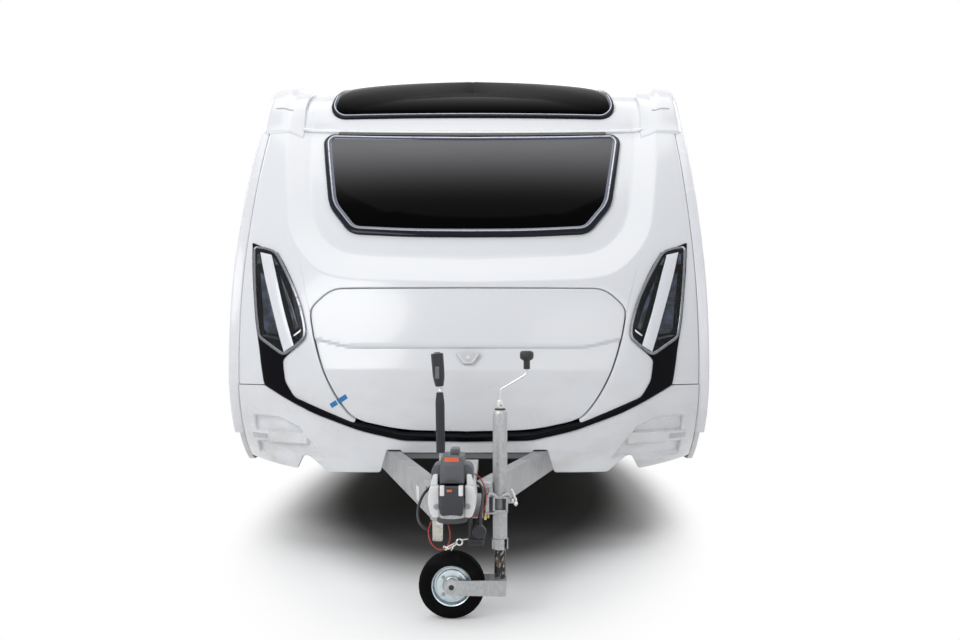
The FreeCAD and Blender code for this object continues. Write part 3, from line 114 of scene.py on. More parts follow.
class End:
    """One end of the body as a surface of x and run.

    In side view it is a chain of arcs, each tangent to the next. run is the length along the chain from the
    waist, negative below it. At a place (x, run) the surface stands ahead of the chain by
    lead - (lead - EDGE) (|x| / PANEL)^power, and depth moves the place inwards, square to the arc.
    """

    def __init__(self, waist_y, out, roll, arcs, lead, power):
        self.out, self.lead, self.power = out, lead, power
        angles = np.radians([0] + [reached for _, reached in arcs])
        radii = np.array([radius for radius, _ in arcs])
        radii = radii * (ROOF - WAIST) / np.sum(radii * np.diff(np.sin(angles)))
        centre_y = waist_y - out * np.cumsum(
            radii * np.cos(angles[:-1]) - np.concatenate([[0], radii[:-1] * np.cos(angles[1:-1])]))
        centre_z = WAIST - np.cumsum(
            radii * np.sin(angles[:-1]) - np.concatenate([[0], radii[:-1] * np.sin(angles[1:-1])]))
        self.radii = np.concatenate([[roll], radii])
        self.begin = np.concatenate([[-math.pi / 2], angles[:-1]])
        self.end = np.concatenate([[0], angles[1:]])
        self.centre_y = np.concatenate([[waist_y - out * roll], centre_y])
        self.centre_z = np.concatenate([[WAIST], centre_z])
        lengths = self.radii * (self.end - self.begin)
        self.starts = np.cumsum(np.concatenate([[-lengths[0]], lengths[:-1]]))
        self.top = float(self.starts[-1] + lengths[-1])

    def side(self, run, depth=0.0):
        """y and z of the chain of arcs."""
        row = np.clip(np.searchsorted(self.starts, run, side="right") - 1, 0, len(self.radii) - 1)
        tilt = self.begin[row] + (run - self.starts[row]) / self.radii[row]
        reach = self.radii[row] - depth
        return self.centre_y[row] + self.out * reach * np.cos(tilt), self.centre_z[row] + reach * np.sin(tilt)

    def run(self, z, depth=0.0):
        """The run at height z, in the row that holds it.

        On an arc it is start + radius (asin((z - centre z) / (radius - depth)) - begin).
        """
        z, depth = np.broadcast_arrays(np.asarray(z, float), np.asarray(depth, float))
        found = np.zeros(z.shape)
        for r, begin, cz, start in zip(self.radii, self.begin, self.centre_z, self.starts):
            tilt = np.arcsin(np.clip((z - cz) / (r - depth), -1, 1))
            found = np.where(tilt >= begin, start + r * (tilt - begin), found)
        return found

    def line(self, x, z, depth=0.0):
        """A line on the surface from x, height and depth: columns x, run, depth."""
        x, z, depth = np.broadcast_arrays(x, z, depth)
        return np.stack([x, self.run(z, depth), depth], -1)

    def drawn(self, points, depth=0.0):
        """A line on the surface from points (x, height), at one depth or at a depth for each."""
        return self.line(points[:, 0], points[:, 1], depth)

    def place(self, rail):
        """Points in space from columns x, run, depth."""
        x, run, depth = np.moveaxis(np.asarray(rail, float), -1, 0)
        y, z = self.side(run, depth)
        outer_y, outer_z = self.side(run)
        lead = self.lead(outer_z, outer_y)
        bow = lead - (lead - EDGE) * (np.abs(x) / PANEL) ** self.power(outer_z)
        return np.stack([x, y + self.out * bow, z], -1)


def nose_lead(z, y):
    """How far the nose's middle stands ahead of its sides: 270 mm at the waist, and 90 mm well above it.

    Below the waist it reaches NOSE_Y, less 20 mm times the square of the way down to the skirt.
    """
    tuck = (WAIST - z) / (WAIST - SKIRT)
    above = 0.27 - 0.18 * np.clip((z - WAIST) / 1.34, 0, 1)
    return np.where(z < WAIST, y - NOSE_Y - 0.02 * tuck * tuck, above)


def nose_power(z):
    """The bow's power: 3 at the waist, 4 at the skirt, and 2 from 1.34 m above the waist."""
    return np.where(z < WAIST, 3 + (WAIST - z) / (WAIST - SKIRT), 3 - np.clip((z - WAIST) / 1.34, 0, 1))


nose = End(SIDE_Y, -1, 0.52, ((1.45, 24), (2.86, 42), (0.8, 72), (4.4, 90)), nose_lead, nose_power)
tail = End(TAIL_Y - TAIL_LEAD, 1, 3.0, ((7.5, 8), (0.38, 90)),
           lambda z, y: np.full(z.shape, TAIL_LEAD), lambda z: np.full(z.shape, 3.0))


def across(rail):
    """Unit vectors square to a line in the plane of x and run, to the left of its way."""
    way = np.gradient(rail[:, :2], axis=0)
    way /= np.linalg.norm(way, axis=1)[:, None] + 1e-12
    return np.stack([-way[:, 1], way[:, 0]], 1)


def shifted(rail, by, depth=0.0):
    """A line moved to the left of its way by a distance, and in by a depth. An end on x = 0 stays there."""
    moved = rail.copy()
    moved[:, :2] += across(rail) * by
    moved[:, 2] += depth
    moved[np.abs(rail[:, 0]) < 1e-9, 0] = 0.0
    return moved


def ladder(rails, counts):
    """Rows between lines of equally many points: each pair is joined by straight steps."""
    counts = np.broadcast_to(counts, len(rails) - 1)
    rows = [a + (b - a) * np.linspace(0, 1, n, endpoint=False)[:, None, None]
            for a, b, n in zip(rails, rails[1:], counts)]
    return np.concatenate(rows + [rails[-1][None]])


class Form:
    """Grids of points that together make one piece.

    A grid has rows and columns, is moved by at, and its faces are turned to point away from its core. Points
    nearer than WELD become one.
    """

    def __init__(self, at=(0, 0, 0)):
        self.grids, self.at = [], at

    def add(self, points, core=None):
        """One more grid. Its core, the middle of its points unless it is given, isn't moved by at."""
        points = np.asarray(points, float) + self.at
        a, b, c, d = points[:-1, :-1], points[:-1, 1:], points[1:, 1:], points[1:, :-1]
        normal, middle = np.cross(c - a, d - b), (a + b + c + d) / 4
        core = points.reshape(-1, 3).mean(0) if core is None else np.asarray(core, float)
        outwards = np.sum(normal * (middle - core)) > 0
        self.grids.append((points, outwards))
        return self

    def both(self, points, core=None):
        """The grid and its mirror image across x = 0."""
        flip = np.array([-1.0, 1, 1])
        return self.add(points, core).add(points * flip, None if core is None else core * flip)

    def make(self, name, finish, slot=None, replaces=(), sharp=32, thick=0.0, body="root"):
        """One mesh of all the grids, as an object that rides on its body."""
        points, faces, count = [], [], 0
        for grid, outwards in self.grids:
            rows, columns = grid.shape[:2]
            index = count + np.arange(rows * columns).reshape(rows, columns)
            quads = np.stack([index[:-1, :-1], index[:-1, 1:], index[1:, 1:], index[1:, :-1]], -1)
            quads = quads.reshape(-1, 4)
            quads = quads if outwards else quads[:, ::-1]
            points.append(grid.reshape(-1, 3))
            faces.append(quads)
            count += rows * columns
        mesh = bpy.data.meshes.new(name)
        mesh.from_pydata(np.concatenate(points).tolist(), [], np.concatenate(faces).tolist())
        work = bmesh.new()
        work.from_mesh(mesh)
        bmesh.ops.remove_doubles(work, verts=work.verts, dist=WELD)
        bmesh.ops.dissolve_degenerate(work, edges=work.edges, dist=WELD / 2)
        work.to_mesh(mesh)
        work.free()
        mesh.shade_smooth()
        mesh.set_sharp_from_angle(angle=math.radians(sharp))
        piece = bpy.data.objects.new(name, mesh)
        SCENE.collection.objects.link(piece)
        mesh.materials.append(finish.material)
        if thick:
            solid = piece.modifiers.new("wall", "SOLIDIFY")
            solid.thickness = thick
            solid.offset = -1
        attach(piece, body)
        if replaces:
            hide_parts(*([replaces] if isinstance(replaces, str) else replaces))
        return piece


def swept(path, outline, lean=UP, taper=None, capped=True):
    """A profile carried along a path: path + a side + b up for each (a, b) of the closed outline.

    side is the unit vector of way x lean and up is side x way, so the profile doesn't twist. taper scales the
    profile at each path point, and the caps close on the path itself.
    """
    path = np.asarray(path, float)
    way = unit(np.gradient(path, axis=0))
    side = unit(np.cross(way, lean))
    up = np.cross(side, way)
    outline = shut(outline)
    taper = np.ones(len(path)) if taper is None else np.asarray(taper, float)
    a, b = outline[:, 0] * taper[:, None], outline[:, 1] * taper[:, None]
    grid = path[:, None] + a[..., None] * side[:, None] + b[..., None] * up[:, None]
    if capped:
        ends = [np.repeat(path[k][None, None], grid.shape[1], 1) for k in (0, -1)]
        grid = np.concatenate([ends[0], grid, ends[1]])
    return grid


def circle(radius, sides=20):
    """Points at equal angles: radius (cos t, sin t)."""
    turn = np.linspace(0, 2 * math.pi, sides, endpoint=False)
    return np.stack([radius * np.cos(turn), radius * np.sin(turn)], 1)


def rectangle(width, height, radius, bend=4):
    """A closed rectangle with quarter-circle corners, round its own middle."""
    turn = np.linspace(0, math.pi / 2, bend)
    quarter = radius * np.stack([np.cos(turn), np.sin(turn)], 1)
    found = []
    for number, (sx, sy) in enumerate(((1, 1), (-1, 1), (-1, -1), (1, -1))):
        centre = np.array([sx * (width / 2 - radius), sy * (height / 2 - radius)])
        c, s = math.cos(number * math.pi / 2), math.sin(number * math.pi / 2)
        found.append(centre + quarter @ np.array([[c, s], [-s, c]]))
    return np.concatenate(found)


def turned(profile, centre, axis=UP, steps=32):
    """A surface of revolution: profile rows are radius and place along the axis, through centre."""
    axis = unit(axis)
    first = unit(np.cross(axis, UP if abs(axis[2]) < 0.9 else RIGHT))
    second = np.cross(axis, first)
    turn = np.linspace(0, 2 * math.pi, steps + 1)
    ring = np.cos(turn)[:, None] * first + np.sin(turn)[:, None] * second
    profile = np.asarray(profile, float)
    return np.asarray(centre, float) + profile[:, 1, None, None] * axis + profile[:, 0, None, None] * ring


def plate(outline, thickness, place, edge=0.001, crown=0.0):
    """A plate over an outline of (a, b), its upper edge rounded by shrinking the outline towards its middle.

    place turns columns a, b, height into points in space. Both faces close on the middle of the outline.
    """
    outline = shut(outline)
    middle = outline[:-1].mean(0)
    reach = np.linalg.norm(outline - middle, axis=1).mean()
    rows = [(0, 0), (1, 0), (1, thickness - edge), (1 - 0.3 * edge / reach, thickness - 0.3 * edge),
            (1 - edge / reach, thickness), (0.5, thickness + 0.75 * crown), (0, thickness + crown)]
    return place(np.stack([np.column_stack([middle + (outline - middle) * scale,
                                            np.full(len(outline), height)]) for scale, height in rows]))


def facing(origin, right=RIGHT, up=UP):
    """A placing of (a, b, height) at an origin: a along right, b along up, height along right x up."""
    right = unit(right)
    out = unit(np.cross(right, up))
    up = np.cross(out, right)
    return lambda grid: origin + grid[..., :1] * right + grid[..., 1:2] * up + grid[..., 2:] * out


# ---------------------------------------------------------------- finishes
class Value:
    """A shader socket in an expression: each operator adds its Math node."""

    def __init__(self, finish, socket):
        self.finish, self.socket = finish, socket

    def math(self, operation, a, b=0.0):
        """A Math node of the finish."""
        return self.finish.math(operation, a, b)

    def __add__(self, other):
        return self.math("ADD", self, other)

    def __sub__(self, other):
        return self.math("SUBTRACT", self, other)

    def __rsub__(self, other):
        return self.math("SUBTRACT", other, self)

    def __mul__(self, other):
        return self.math("MULTIPLY", self, other)

    def __pow__(self, other):
        return self.math("POWER", self, other)

    __radd__, __rmul__ = __add__, __mul__

    def between(self, low, high):
        """0 at low, 1 at high, eased between them and held outside."""
        return self.finish.node("ShaderNodeMapRange", {"interpolation_type": "SMOOTHSTEP"},
                                {0: self, 1: low, 2: high, 3: 0.0, 4: 1.0})


class Finish:
    """A material made by nodes. The plain sockets are the same all over the surface."""

    def __init__(self, name, colour, roughness, plain=()):
        self.material = bpy.data.materials.new(name)
        self.material.use_nodes = True
        self.tree = self.material.node_tree
        self.shader = self.tree.nodes["Principled BSDF"]
        self.material.diffuse_color = self.shader.inputs["Base Color"].default_value = tuple(colour) + (1.0,)
        self.shader.inputs["Roughness"].default_value = roughness
        for socket, value in dict(plain).items():
            self.shader.inputs[socket].default_value = value

    def node(self, kind, settings, inputs, out=0):
        """One output of a new node, after its settings and its inputs, which are values or numbers."""
        made = self.tree.nodes.new(kind)
        for key, value in settings.items():
            setattr(made, key, value)
        for key, value in inputs.items():
            if isinstance(value, Value):
                self.tree.links.new(value.socket, made.inputs[key])
            else:
                made.inputs[key].default_value = value
        return Value(self, made.outputs[out])

    def math(self, operation, a, b=0.0):
        """A Math node of two values or numbers."""
        return self.node("ShaderNodeMath", {"operation": operation}, {0: a, 1: b})

    def spot(self, stretch=(1, 1, 1)):
        """The place on the object, stretched along the axes."""
        found = self.node("ShaderNodeTexCoord", {}, {}, "Object")
        return self.node("ShaderNodeMapping", {}, {0: found, "Scale": stretch})

    def height(self):
        """The height above the ground."""
        return self.node("ShaderNodeSeparateXYZ", {}, {0: self.spot()}, 2)

    def noise(self, scale, detail=3.0, stretch=(1, 1, 1)):
        """Noise that repeats about scale times in a metre of the stretched place."""
        inputs = {"Vector": self.spot(stretch), "Scale": scale, "Detail": detail}
        return self.node("ShaderNodeTexNoise", {}, inputs)

    def mix(self, factor, a, b):
        """The colour a where factor is 0, and b where it is 1."""
        a, b = (v if isinstance(v, Value) else tuple(v) + (1.0,) for v in (a, b))
        return self.node("ShaderNodeMix", {"data_type": "RGBA"}, {0: factor, 6: a, 7: b}, 2)

    def feed(self, socket, value):
        """A value into one socket of the shader."""
        self.tree.links.new(value.socket, self.shader.inputs[socket])
        return self

    def paint(self, value):
        """A value as the colour."""
        return self.feed("Base Color", value)

    def rough(self, value):
        """A value as the roughness."""
        return self.feed("Roughness", value)

    def relief(self, value, depth):
        """Bumps as deep as depth, in metres, where value goes from 0 to 1."""
        return self.feed("Normal", self.node("ShaderNodeBump", {}, {"Height": value, "Distance": depth}))


def tint(colour, by):
    """A colour made lighter or darker by a factor, held between 0 and 1."""
    return tuple(max(0.0, min(1.0, c * by)) for c in colour)


def gelcoat(name, colour, rough=0.2, grime=0.5):
    """Moulded gloss: faint orange peel, and road dust that thickens towards the ground."""
    made = Finish(name, colour, rough, {"Coat Weight": 0.3, "Coat Roughness": 0.06,
                                        "Specular IOR Level": 0.4})
    patches = made.noise(5.0, 5.0, (1, 1, 2)).between(0.35, 0.8)
    dust = (1.0 - made.height().between(0.34, 0.95)) * patches * grime
    made.paint(made.mix(dust, made.mix(made.noise(1.3), tint(colour, 0.985), colour), (0.52, 0.49, 0.45)))
    made.rough(made.noise(9.0, 2.0).between(0.2, 0.8) * 0.07 + dust * 0.35 + (rough - 0.03))
    return made.relief(made.noise(260.0, 1.0), 0.00006)


def sheet_paint(name, colour, rough=0.34):
    """Painted sheet: a fine even texture, and long rain marks down the wall."""
    made = Finish(name, colour, rough, {"Specular IOR Level": 0.4})
    run = made.noise(7.0, 4.0, (1, 5, 0.5)).between(0.52, 0.95)
    low = 1.0 - made.height().between(0.5, 1.3)
    made.paint(made.mix(run * 0.12 + low * made.noise(4.0, 5.0).between(0.3, 0.9) * 0.3, colour,
                        (0.55, 0.52, 0.47)))
    made.rough(made.noise(30.0, 2.0) * 0.12 + (rough - 0.06))
    return made.relief(made.noise(420.0, 2.0), 0.00012)


def moulded(name, colour, rough=0.5, grain=0.0003, sheen=0.0):
    """Moulded plastic: a fine grain, scuffed a little paler in patches."""
    made = Finish(name, colour, rough, {"Coat Weight": sheen})
    worn = made.noise(26.0, 5.0).between(0.55, 0.9)
    made.paint(made.mix(worn * 0.35, colour, tuple(min(1.0, c * 1.5 + 0.02) for c in colour)))
    made.rough(made.noise(14.0, 3.0) * 0.16 + (rough - 0.08))
    return made.relief(made.noise(900.0, 2.0), grain)


def gloss(name, colour, rough=0.06, shine=0.35):
    """Polished acrylic or lacquer: faint wipe marks in the gloss."""
    made = Finish(name, colour, rough, {"Coat Weight": shine, "Coat Roughness": 0.03,
                                        "Specular IOR Level": shine})
    made.paint(made.mix(made.noise(3.0, 4.0), colour, tint(colour, 1.35)))
    return made.rough(made.noise(6.0, 5.0, (1, 1, 4)).between(0.45, 0.85) * 0.08 + rough)


def glazing(name, low, high, dark, pale, bend=1.0, shine=0.02):
    """Tinted double acrylic: nearly black, with a painted reflection, a paler colour that grows from height
    low up to high.
    """
    made = Finish(name, dark, 0.08, {"Specular IOR Level": shine})
    painted_reflection = made.height().between(low, high) ** bend
    # Painted reflection: the pane's colour pales towards its top, standing in for the sky it mirrors.
    made.paint(made.mix(painted_reflection * (made.noise(2.0, 3.0) * 0.12 + 0.94), dark, pale))
    return made.rough(made.noise(5.0, 4.0).between(0.4, 0.9) * 0.06 + 0.06)


def galvanised(name, colour, rough=0.44, spangle=90.0, stain=0.5):
    """Hot-dip zinc: crystal spangle, dull runs, and rusty-brown road dirt in patches."""
    made = Finish(name, colour, rough, {"Metallic": 0.65})
    cell = made.node("ShaderNodeTexVoronoi", {}, {"Vector": made.spot((1, 1, 0.6)), "Scale": spangle},
                     "Color")
    grey = made.node("ShaderNodeRGBToBW", {}, {0: cell})
    dull = made.noise(11.0, 6.0, (1, 1, 0.4))
    base = made.mix(grey * 0.45 + dull * 0.55, tint(colour, 0.7), tint(colour, 1.25))
    dirt = made.noise(17.0, 7.0).between(0.56, 0.8) * stain
    made.paint(made.mix(dirt, base, (0.16, 0.13, 0.10)))
    made.rough(grey * 0.14 + dirt * 0.3 + (rough - 0.05))
    return made.relief(dull * 0.7 + grey * 0.3, 0.0006)


def plated(name, colour, rough=0.28, dull=0.62):
    """Bright zinc or chrome plate with fine turning marks and dull spots."""
    made = Finish(name, colour, rough, {"Metallic": 0.9})
    spots = made.noise(60.0, 5.0).between(0.5, 0.75)
    made.paint(made.mix(spots, colour, tint(colour, dull)))
    made.rough(spots * 0.25 + rough)
    return made.relief(made.noise(700.0, 1.0), 0.00008)


def greased(name, colour):
    """A steel stem under black grease, with rusty smears and bright scratches along it."""
    made = Finish(name, colour, 0.3, {"Metallic": 0.2, "Specular IOR Level": 0.4})
    smear = made.noise(60.0, 6.0, (1, 1, 0.5)).between(0.50, 0.64)
    bare = made.noise(130.0, 5.0, (1, 1, 0.6)).between(0.55, 0.64)
    made.paint(made.mix(bare * 0.8, made.mix(smear * 0.8, colour, (0.17, 0.115, 0.08)), (0.5, 0.49, 0.47)))
    made.rough(smear * 0.4 + 0.22)
    return made.relief(smear, 0.0008)


def tyre_rubber(name, colour):
    """Black rubber with a fine grain and a little road dust in patches."""
    made = Finish(name, colour, 0.72, {"Specular IOR Level": 0.04})
    dust = made.noise(9.0, 6.0).between(0.48, 0.85)
    made.paint(made.mix(dust * 0.16, colour, (0.07, 0.066, 0.06)))
    made.rough(made.noise(40.0, 3.0) * 0.2 + 0.6)
    return made.relief(made.noise(500.0, 3.0), 0.0004)


def lens(name, colour):
    """A coloured lamp lens with fine upright optics behind its face."""
    made = Finish(name, colour, 0.12, {"Coat Weight": 0.6, "Specular IOR Level": 0.5})
    line = made.node("ShaderNodeTexWave", {"bands_direction": "X"},
                     {"Vector": made.spot(), "Scale": 55.0, "Distortion": 0.0}, 1)
    made.paint(made.mix(line * 0.35, colour, tint(colour, 0.55)))
    made.rough(made.noise(8.0) * 0.06 + 0.09)
    return made.relief(line, 0.0004)


def mirror_glass(name, dark, pale):
    """A reflector behind clear plastic: blue-grey, with a painted reflection in soft bands of pale and dark.
    """
    made = Finish(name, pale, 0.18, {"Coat Weight": 0.15, "Specular IOR Level": 0.3})
    band = made.noise(7.0, 3.0, (1, 1, 2.2))
    # Painted reflection: the reflector's colour swings between dark and pale in soft bands.
    made.paint(made.mix(band.between(0.38, 0.66), dark, pale))
    return made.rough(band * 0.2 + 0.1)


def clear(name):
    """Clear polycarbonate: almost all passes through, and the gloss stays."""
    made = Finish(name, (0.9, 0.93, 0.96), 0.03, {"Specular IOR Level": 0.5, "IOR": 1.35})
    veil = made.noise(4.0, 3.0).between(0.3, 0.9)
    return made.feed("Alpha", veil * 0.012 + 0.012).rough(veil * 0.04 + 0.02)


WHITE = gelcoat("white_gelcoat", (0.79, 0.805, 0.83))
WALL = sheet_paint("white_wall", (0.80, 0.80, 0.805))
RAIL = gelcoat("rail_paint", (0.80, 0.81, 0.84), 0.26, 0.15)
SEAL = moulded("seal_rubber", (0.05, 0.052, 0.056), 0.6)
GAP = moulded("grey_gasket", (0.16, 0.165, 0.17), 0.6)
BLACK = gloss("gloss_black", (0.0015, 0.0015, 0.003), 0.06, 0.05)
FRAME = gloss("window_frame", (0.003, 0.004, 0.012), 0.08, 0.12)
# The lip's navy colour is a painted blue reflection on its black gloss.
LIP = gloss("window_lip_painted_reflection", (0.012, 0.028, 0.080), 0.08)
BEAD = plated("window_bead", (0.36, 0.37, 0.40), 0.2)
# Each glazing carries a painted reflection: its colour pales from height low up to high.
GLASS_FRONT = glazing("front_glazing", 1.56, 2.0, (0.0005, 0.0003, 0.0004), (0.150, 0.150, 0.156), 1.7)
GLASS_ROOF = glazing("roof_glazing", 2.15, 2.45, (0.0005, 0.0004, 0.0005), (0.085, 0.084, 0.086), 1.4, 0.006)
GLASS_SIDE = glazing("side_glazing", 1.4, 2.2, (0.008, 0.009, 0.011), (0.03, 0.033, 0.038))
BEZEL = plated("lamp_bezel", (0.20, 0.21, 0.23), 0.22)
LIGHT_BAR = gelcoat("light_bar", (0.78, 0.80, 0.84), 0.16, 0.0)
MIRROR = mirror_glass("lamp_mirror", (0.001, 0.002, 0.006), (0.035, 0.055, 0.10))
CLEAR = clear("clear_cover")
ZINC_DIP = galvanised("galvanised_steel", (0.40, 0.41, 0.42))
TUBE = galvanised("galvanised_tube", (0.455, 0.465, 0.475), 0.42, 160.0, 0.15)
# A darker copy of the tube's zinc: painted shade on the tube inside the clamp.
TUBE_PAINTED_SHADE = galvanised("tube_in_clamp_painted_shade", (0.22, 0.23, 0.24), 0.5, 60.0, 0.4)
PLATE = plated("zinc_plate", (0.66, 0.66, 0.64))
DISC = plated("zinc_disc", (0.60, 0.67, 0.70), 0.3, 0.86)
ALLOY = plated("alloy_wheel", (0.62, 0.63, 0.65), 0.3)
GREASE = greased("greased_steel", (0.016, 0.016, 0.018))
CAST = moulded("coupling_cover", (0.075, 0.08, 0.092), 0.42, 0.0004, 0.2)
CAST_DARK = moulded("coupling_cast", (0.03, 0.032, 0.037), 0.5, 0.0006)
PAD = gelcoat("white_pad", (0.80, 0.80, 0.81), 0.3, 0.1)
GREY = moulded("grey_plastic", (0.42, 0.43, 0.44), 0.4)
PALE_GREY = moulded("pale_plastic", (0.62, 0.63, 0.64), 0.3)
BLACK_PLASTIC = moulded("black_plastic", (0.018, 0.018, 0.02), 0.46)
GRIP = moulded("grip_rubber", (0.012, 0.014, 0.02), 0.36, 0.0003)
MARKS = moulded("pale_mark", (0.16, 0.155, 0.15), 0.5)
PASSIVATED = plated("passivated_zinc", (0.54, 0.535, 0.49), 0.4)
BRASS = plated("brass_stud", (0.62, 0.48, 0.2), 0.3)
TYRE = tyre_rubber("tyre_rubber", (0.004, 0.004, 0.0045))
CABLE = moulded("black_cable", (0.015, 0.015, 0.017), 0.38, 0.0001)
CABLE_RED = moulded("red_cable", (0.42, 0.03, 0.02), 0.3, 0.0001)
RED = lens("red_lens", (0.42, 0.01, 0.012))
AMBER = lens("amber_lens", (0.65, 0.2, 0.02))
MARKER = lens("marker_lens", (0.52, 0.53, 0.54))
ORANGE = moulded("orange_patch", (0.72, 0.13, 0.06), 0.5)
TAPE = moulded("blue_tape", (0.02, 0.17, 0.44), 0.5, 0.0002)
BOARD = moulded("floor_board", (0.24, 0.18, 0.12), 0.7, 0.0008)
DOME = gloss("rooflight_dome", (0.42, 0.44, 0.47), 0.1)


# ---------------------------------------------------------------- outlines on the front: x >= 0 and height
SHELF_EDGE = rounded([(0, 1.2), (0.575, 1.212), (0.711, 1.258), (0.825, 1.378), (0.885, 1.484), (0.94, 1.80),
                      (0.985, HEAD)], (0, 0.2, 0.12, 0.1, 0.1, 0.3, 0))
SHELF_INNER = rounded([(0, 1.319), (0.43, 1.336), (0.638, 1.36), (0.78, 1.518), (0.835, 1.80), (0.875, HEAD)],
                      (0, 0.2, 0.14, 0.14, 0.3, 0))
WINDOW = [(0, 2.027), (0.40, 2.033), (0.762, 2.052), (0.796, 2.006), (0.703, 1.604), (0.578, 1.452),
          (0.28, 1.432), (0, 1.430)]
ROOF_WINDOW = [(0, 2.47), (0.69, 2.47), (0.755, 2.40), (0.79, 2.215), (0.735, 2.150), (0, 2.150)]
REAR_WINDOW = [(0, 1.96), (0.640, 1.96), (0.700, 1.90), (0.700, 1.42), (0.640, 1.36), (0, 1.36)]
LAMP_IN = [(0.915, 1.357), (0.869, 1.292), (0.831, 1.228), (0.784, 1.132), (0.752, 1.02), (0.737, 0.943),
           (0.848, 0.847), (0.834, 0.751), (0.788, 0.679), (0.665, 0.629), (0.511, 0.568), (0.288, 0.517),
           (0, 0.510)]
LAMP_OUT = [(1.057, 1.408), (1.037, 1.265), (1.0, 1.028), (0.972, 0.90), (0.962, 0.835), (0.943, 0.733),
            (0.819, 0.667), (0.697, 0.610), (0.481, 0.535), (0.288, 0.492), (0, 0.487)]
LOCKER = [(0, 1.172), (0.625, 1.172), (0.717, 1.090), (0.718, 1.045), (0.692, 0.925), (0.645, 0.790),
          (0.587, 0.678), (0.524, 0.592), (0.470, 0.563), (0.288, 0.522), (0, 0.516)]
LOCKER_EDGE = rounded(LOCKER, (0, 0.05, 0.05, 0.02, 0.1, 0.1, 0.1, 0.05, 0.03, 0.1, 0), 16, 10)


def joined(*lines):
    """Lines one after another, without their shared points."""
    return np.concatenate([line[:-1] for line in lines[:-1]] + [lines[-1]])


def part_of(line, start, end, count):
    """The stretch of a line between the points nearest to start and end, at equal steps."""
    first, last = nearest(line, start), nearest(line, end)
    return even(line[first:last + 1], count)


def raised(border, steps, centre=None):
    """Rows from a closed border's middle out to it: each is the border shrunk by a scale and moved in."""
    centre = border.mean(0) if centre is None else centre
    return [centre + (border - centre) * scale + (0, 0, depth) for scale, depth in steps]


def skin(end, *grids):
    """Grids on one end of the body, in columns x, run, depth, and their mirror images."""
    form = Form()
    for grid in grids:
        form.both(end.place(grid), BODY_CORE)
    return form


# ---------------------------------------------------------------- front panel
def sheet_depth(x, z):
    """How deep the roof's front lies: as the seat at the window's head, and 14 mm proud at 2.38 to 2.47 m."""
    seat = SHELF * (1 - smooth(2.06, 2.32, z)) * (1 - np.clip((np.abs(x) - 0.875) / 0.11, 0, 1))
    return seat - 0.014 * smooth(2.2, 2.38, z) * smooth(2.565, 2.47, z)


def cap_depth(x, z):
    """The corner cap's face: 7 mm proud of the sheet at its foot, rising to 33 mm, and 58 mm at its hump."""
    low = sheet_depth(x, 2.06) - 0.007
    high = -0.033 - 0.025 * smooth(0.995, 1.04, x)
    return low + (high - low) * smooth(2.075, 2.33, z)


def make_front_panel():
    """The white front: pillars, the stepped seat of the window, the band round the locker, and the brow."""
    sheets = []
    shelf = even(SHELF_EDGE, 97)
    fork = nearest(shelf, (0.825, 1.378))
    inner = even(SHELF_INNER, 97)
    seat = even(rounded([(0, 1.475), (0.57, 1.475), (0.69, 1.62), (0.758, 2.0), (0.762, HEAD)],
                        (0, 0.05, 0.06, 0.1, 0)), 97)
    outer, low = nose.drawn(shelf), nose.drawn(inner, SHELF)
    roll = [nose.drawn(shelf + (inner - shelf) * t, SHELF * d)
            for t, d in ((0.05, 0.035), (0.1, 0.09), (0.9, 0.91), (0.95, 0.965))]
    sheets += [ladder([outer, *roll, low], [1, 1, 10, 1, 1]), ladder([low, nose.drawn(seat, SHELF)], 6)]
    # Round the locker: first up to the shelf, then down to the lamp.
    turn = (0.718, 1.07)
    beside = joined(shelf[fork:fork + 1].repeat(2, 0), even([shelf[fork], LAMP_IN[0]], 9),
                    even(rounded(LAMP_IN, 0.02, 10, 5), 300))
    stop = nearest(beside, (0.511, 0.568))
    sections = ((part_of(LOCKER_EDGE, LOCKER[0], turn, fork + 1), shelf[:fork + 1]),
                (part_of(LOCKER_EDGE, turn, (0.500, 0.575), 120), even(beside[1:stop + 1], 120)))
    for inside, outside in sections:
        rim = shifted(nose.drawn(inside), 0.006)
        rows = [shifted(rim, 0, 0.03), shifted(rim, 0, 0.004), shifted(rim, 0.0012, 0.0012),
                shifted(rim, 0.004)]
        sheets.append(ladder(rows + [nose.drawn(outside)], [2, 1, 1, 8]))
    # The pillar outside the lamp and the shelf, up to the corner rail.
    lamp_side = joined(even(rounded(LAMP_OUT[5::-1] + LAMP_IN[:1], 0.01), 80),
                       even([LAMP_IN[0], shelf[fork]], 9))
    edge, above = (np.stack([np.full(count, PANEL), np.linspace(foot, head, count)], 1)
                   for foot, head, count in ((SILL, 1.46, 88), (1.46, HEAD, 97 - fork)))
    for inside, outside in ((lamp_side, edge), (shelf[fork:], above)):
        rail = nose.drawn(outside)
        rolled = [shifted(rail, *by) for by in ((0.012,), (0.003, 0.002), (0, 0.008), (0, 0.03))]
        sheets.append(ladder([nose.drawn(inside)] + rolled, [10, 2, 2, 1]))
    # The front of the roof, from the window's head back to its joint.
    x = np.concatenate([np.linspace(0, 0.86, 20)[:-1], np.linspace(0.86, 1.0, 14)[:-1],
                        np.linspace(1.0, PANEL, 6)])
    grid = ladder([nose.line(x, HEAD, 0), roof_rail(nose, x, ROOF_JOINT)], 60)
    grid[..., 2] = sheet_depth(grid[..., 0], nose.side(grid[..., 1])[1])
    skin(nose, *sheets, grid).make("front_panel_shell", WHITE, "white_moulding", "front_panel", 28)


# ---------------------------------------------------------------- locker door
def locker_depth(x, z):
    """How far the lid's face lies in: a fine step under the swage, and a leaning band down to the waist."""
    swage = 0.904 + 0.036 * smooth(0.5, 0.72, np.abs(x))
    under = smooth(swage + 0.005, swage - 0.005, z)
    lean = 0.013 * np.clip((z - WAIST) / (swage - WAIST), 0, 1)
    tuck = 0.055 * np.clip(WAIST - z, 0, None)
    return under * (0.004 + lean) + tuck


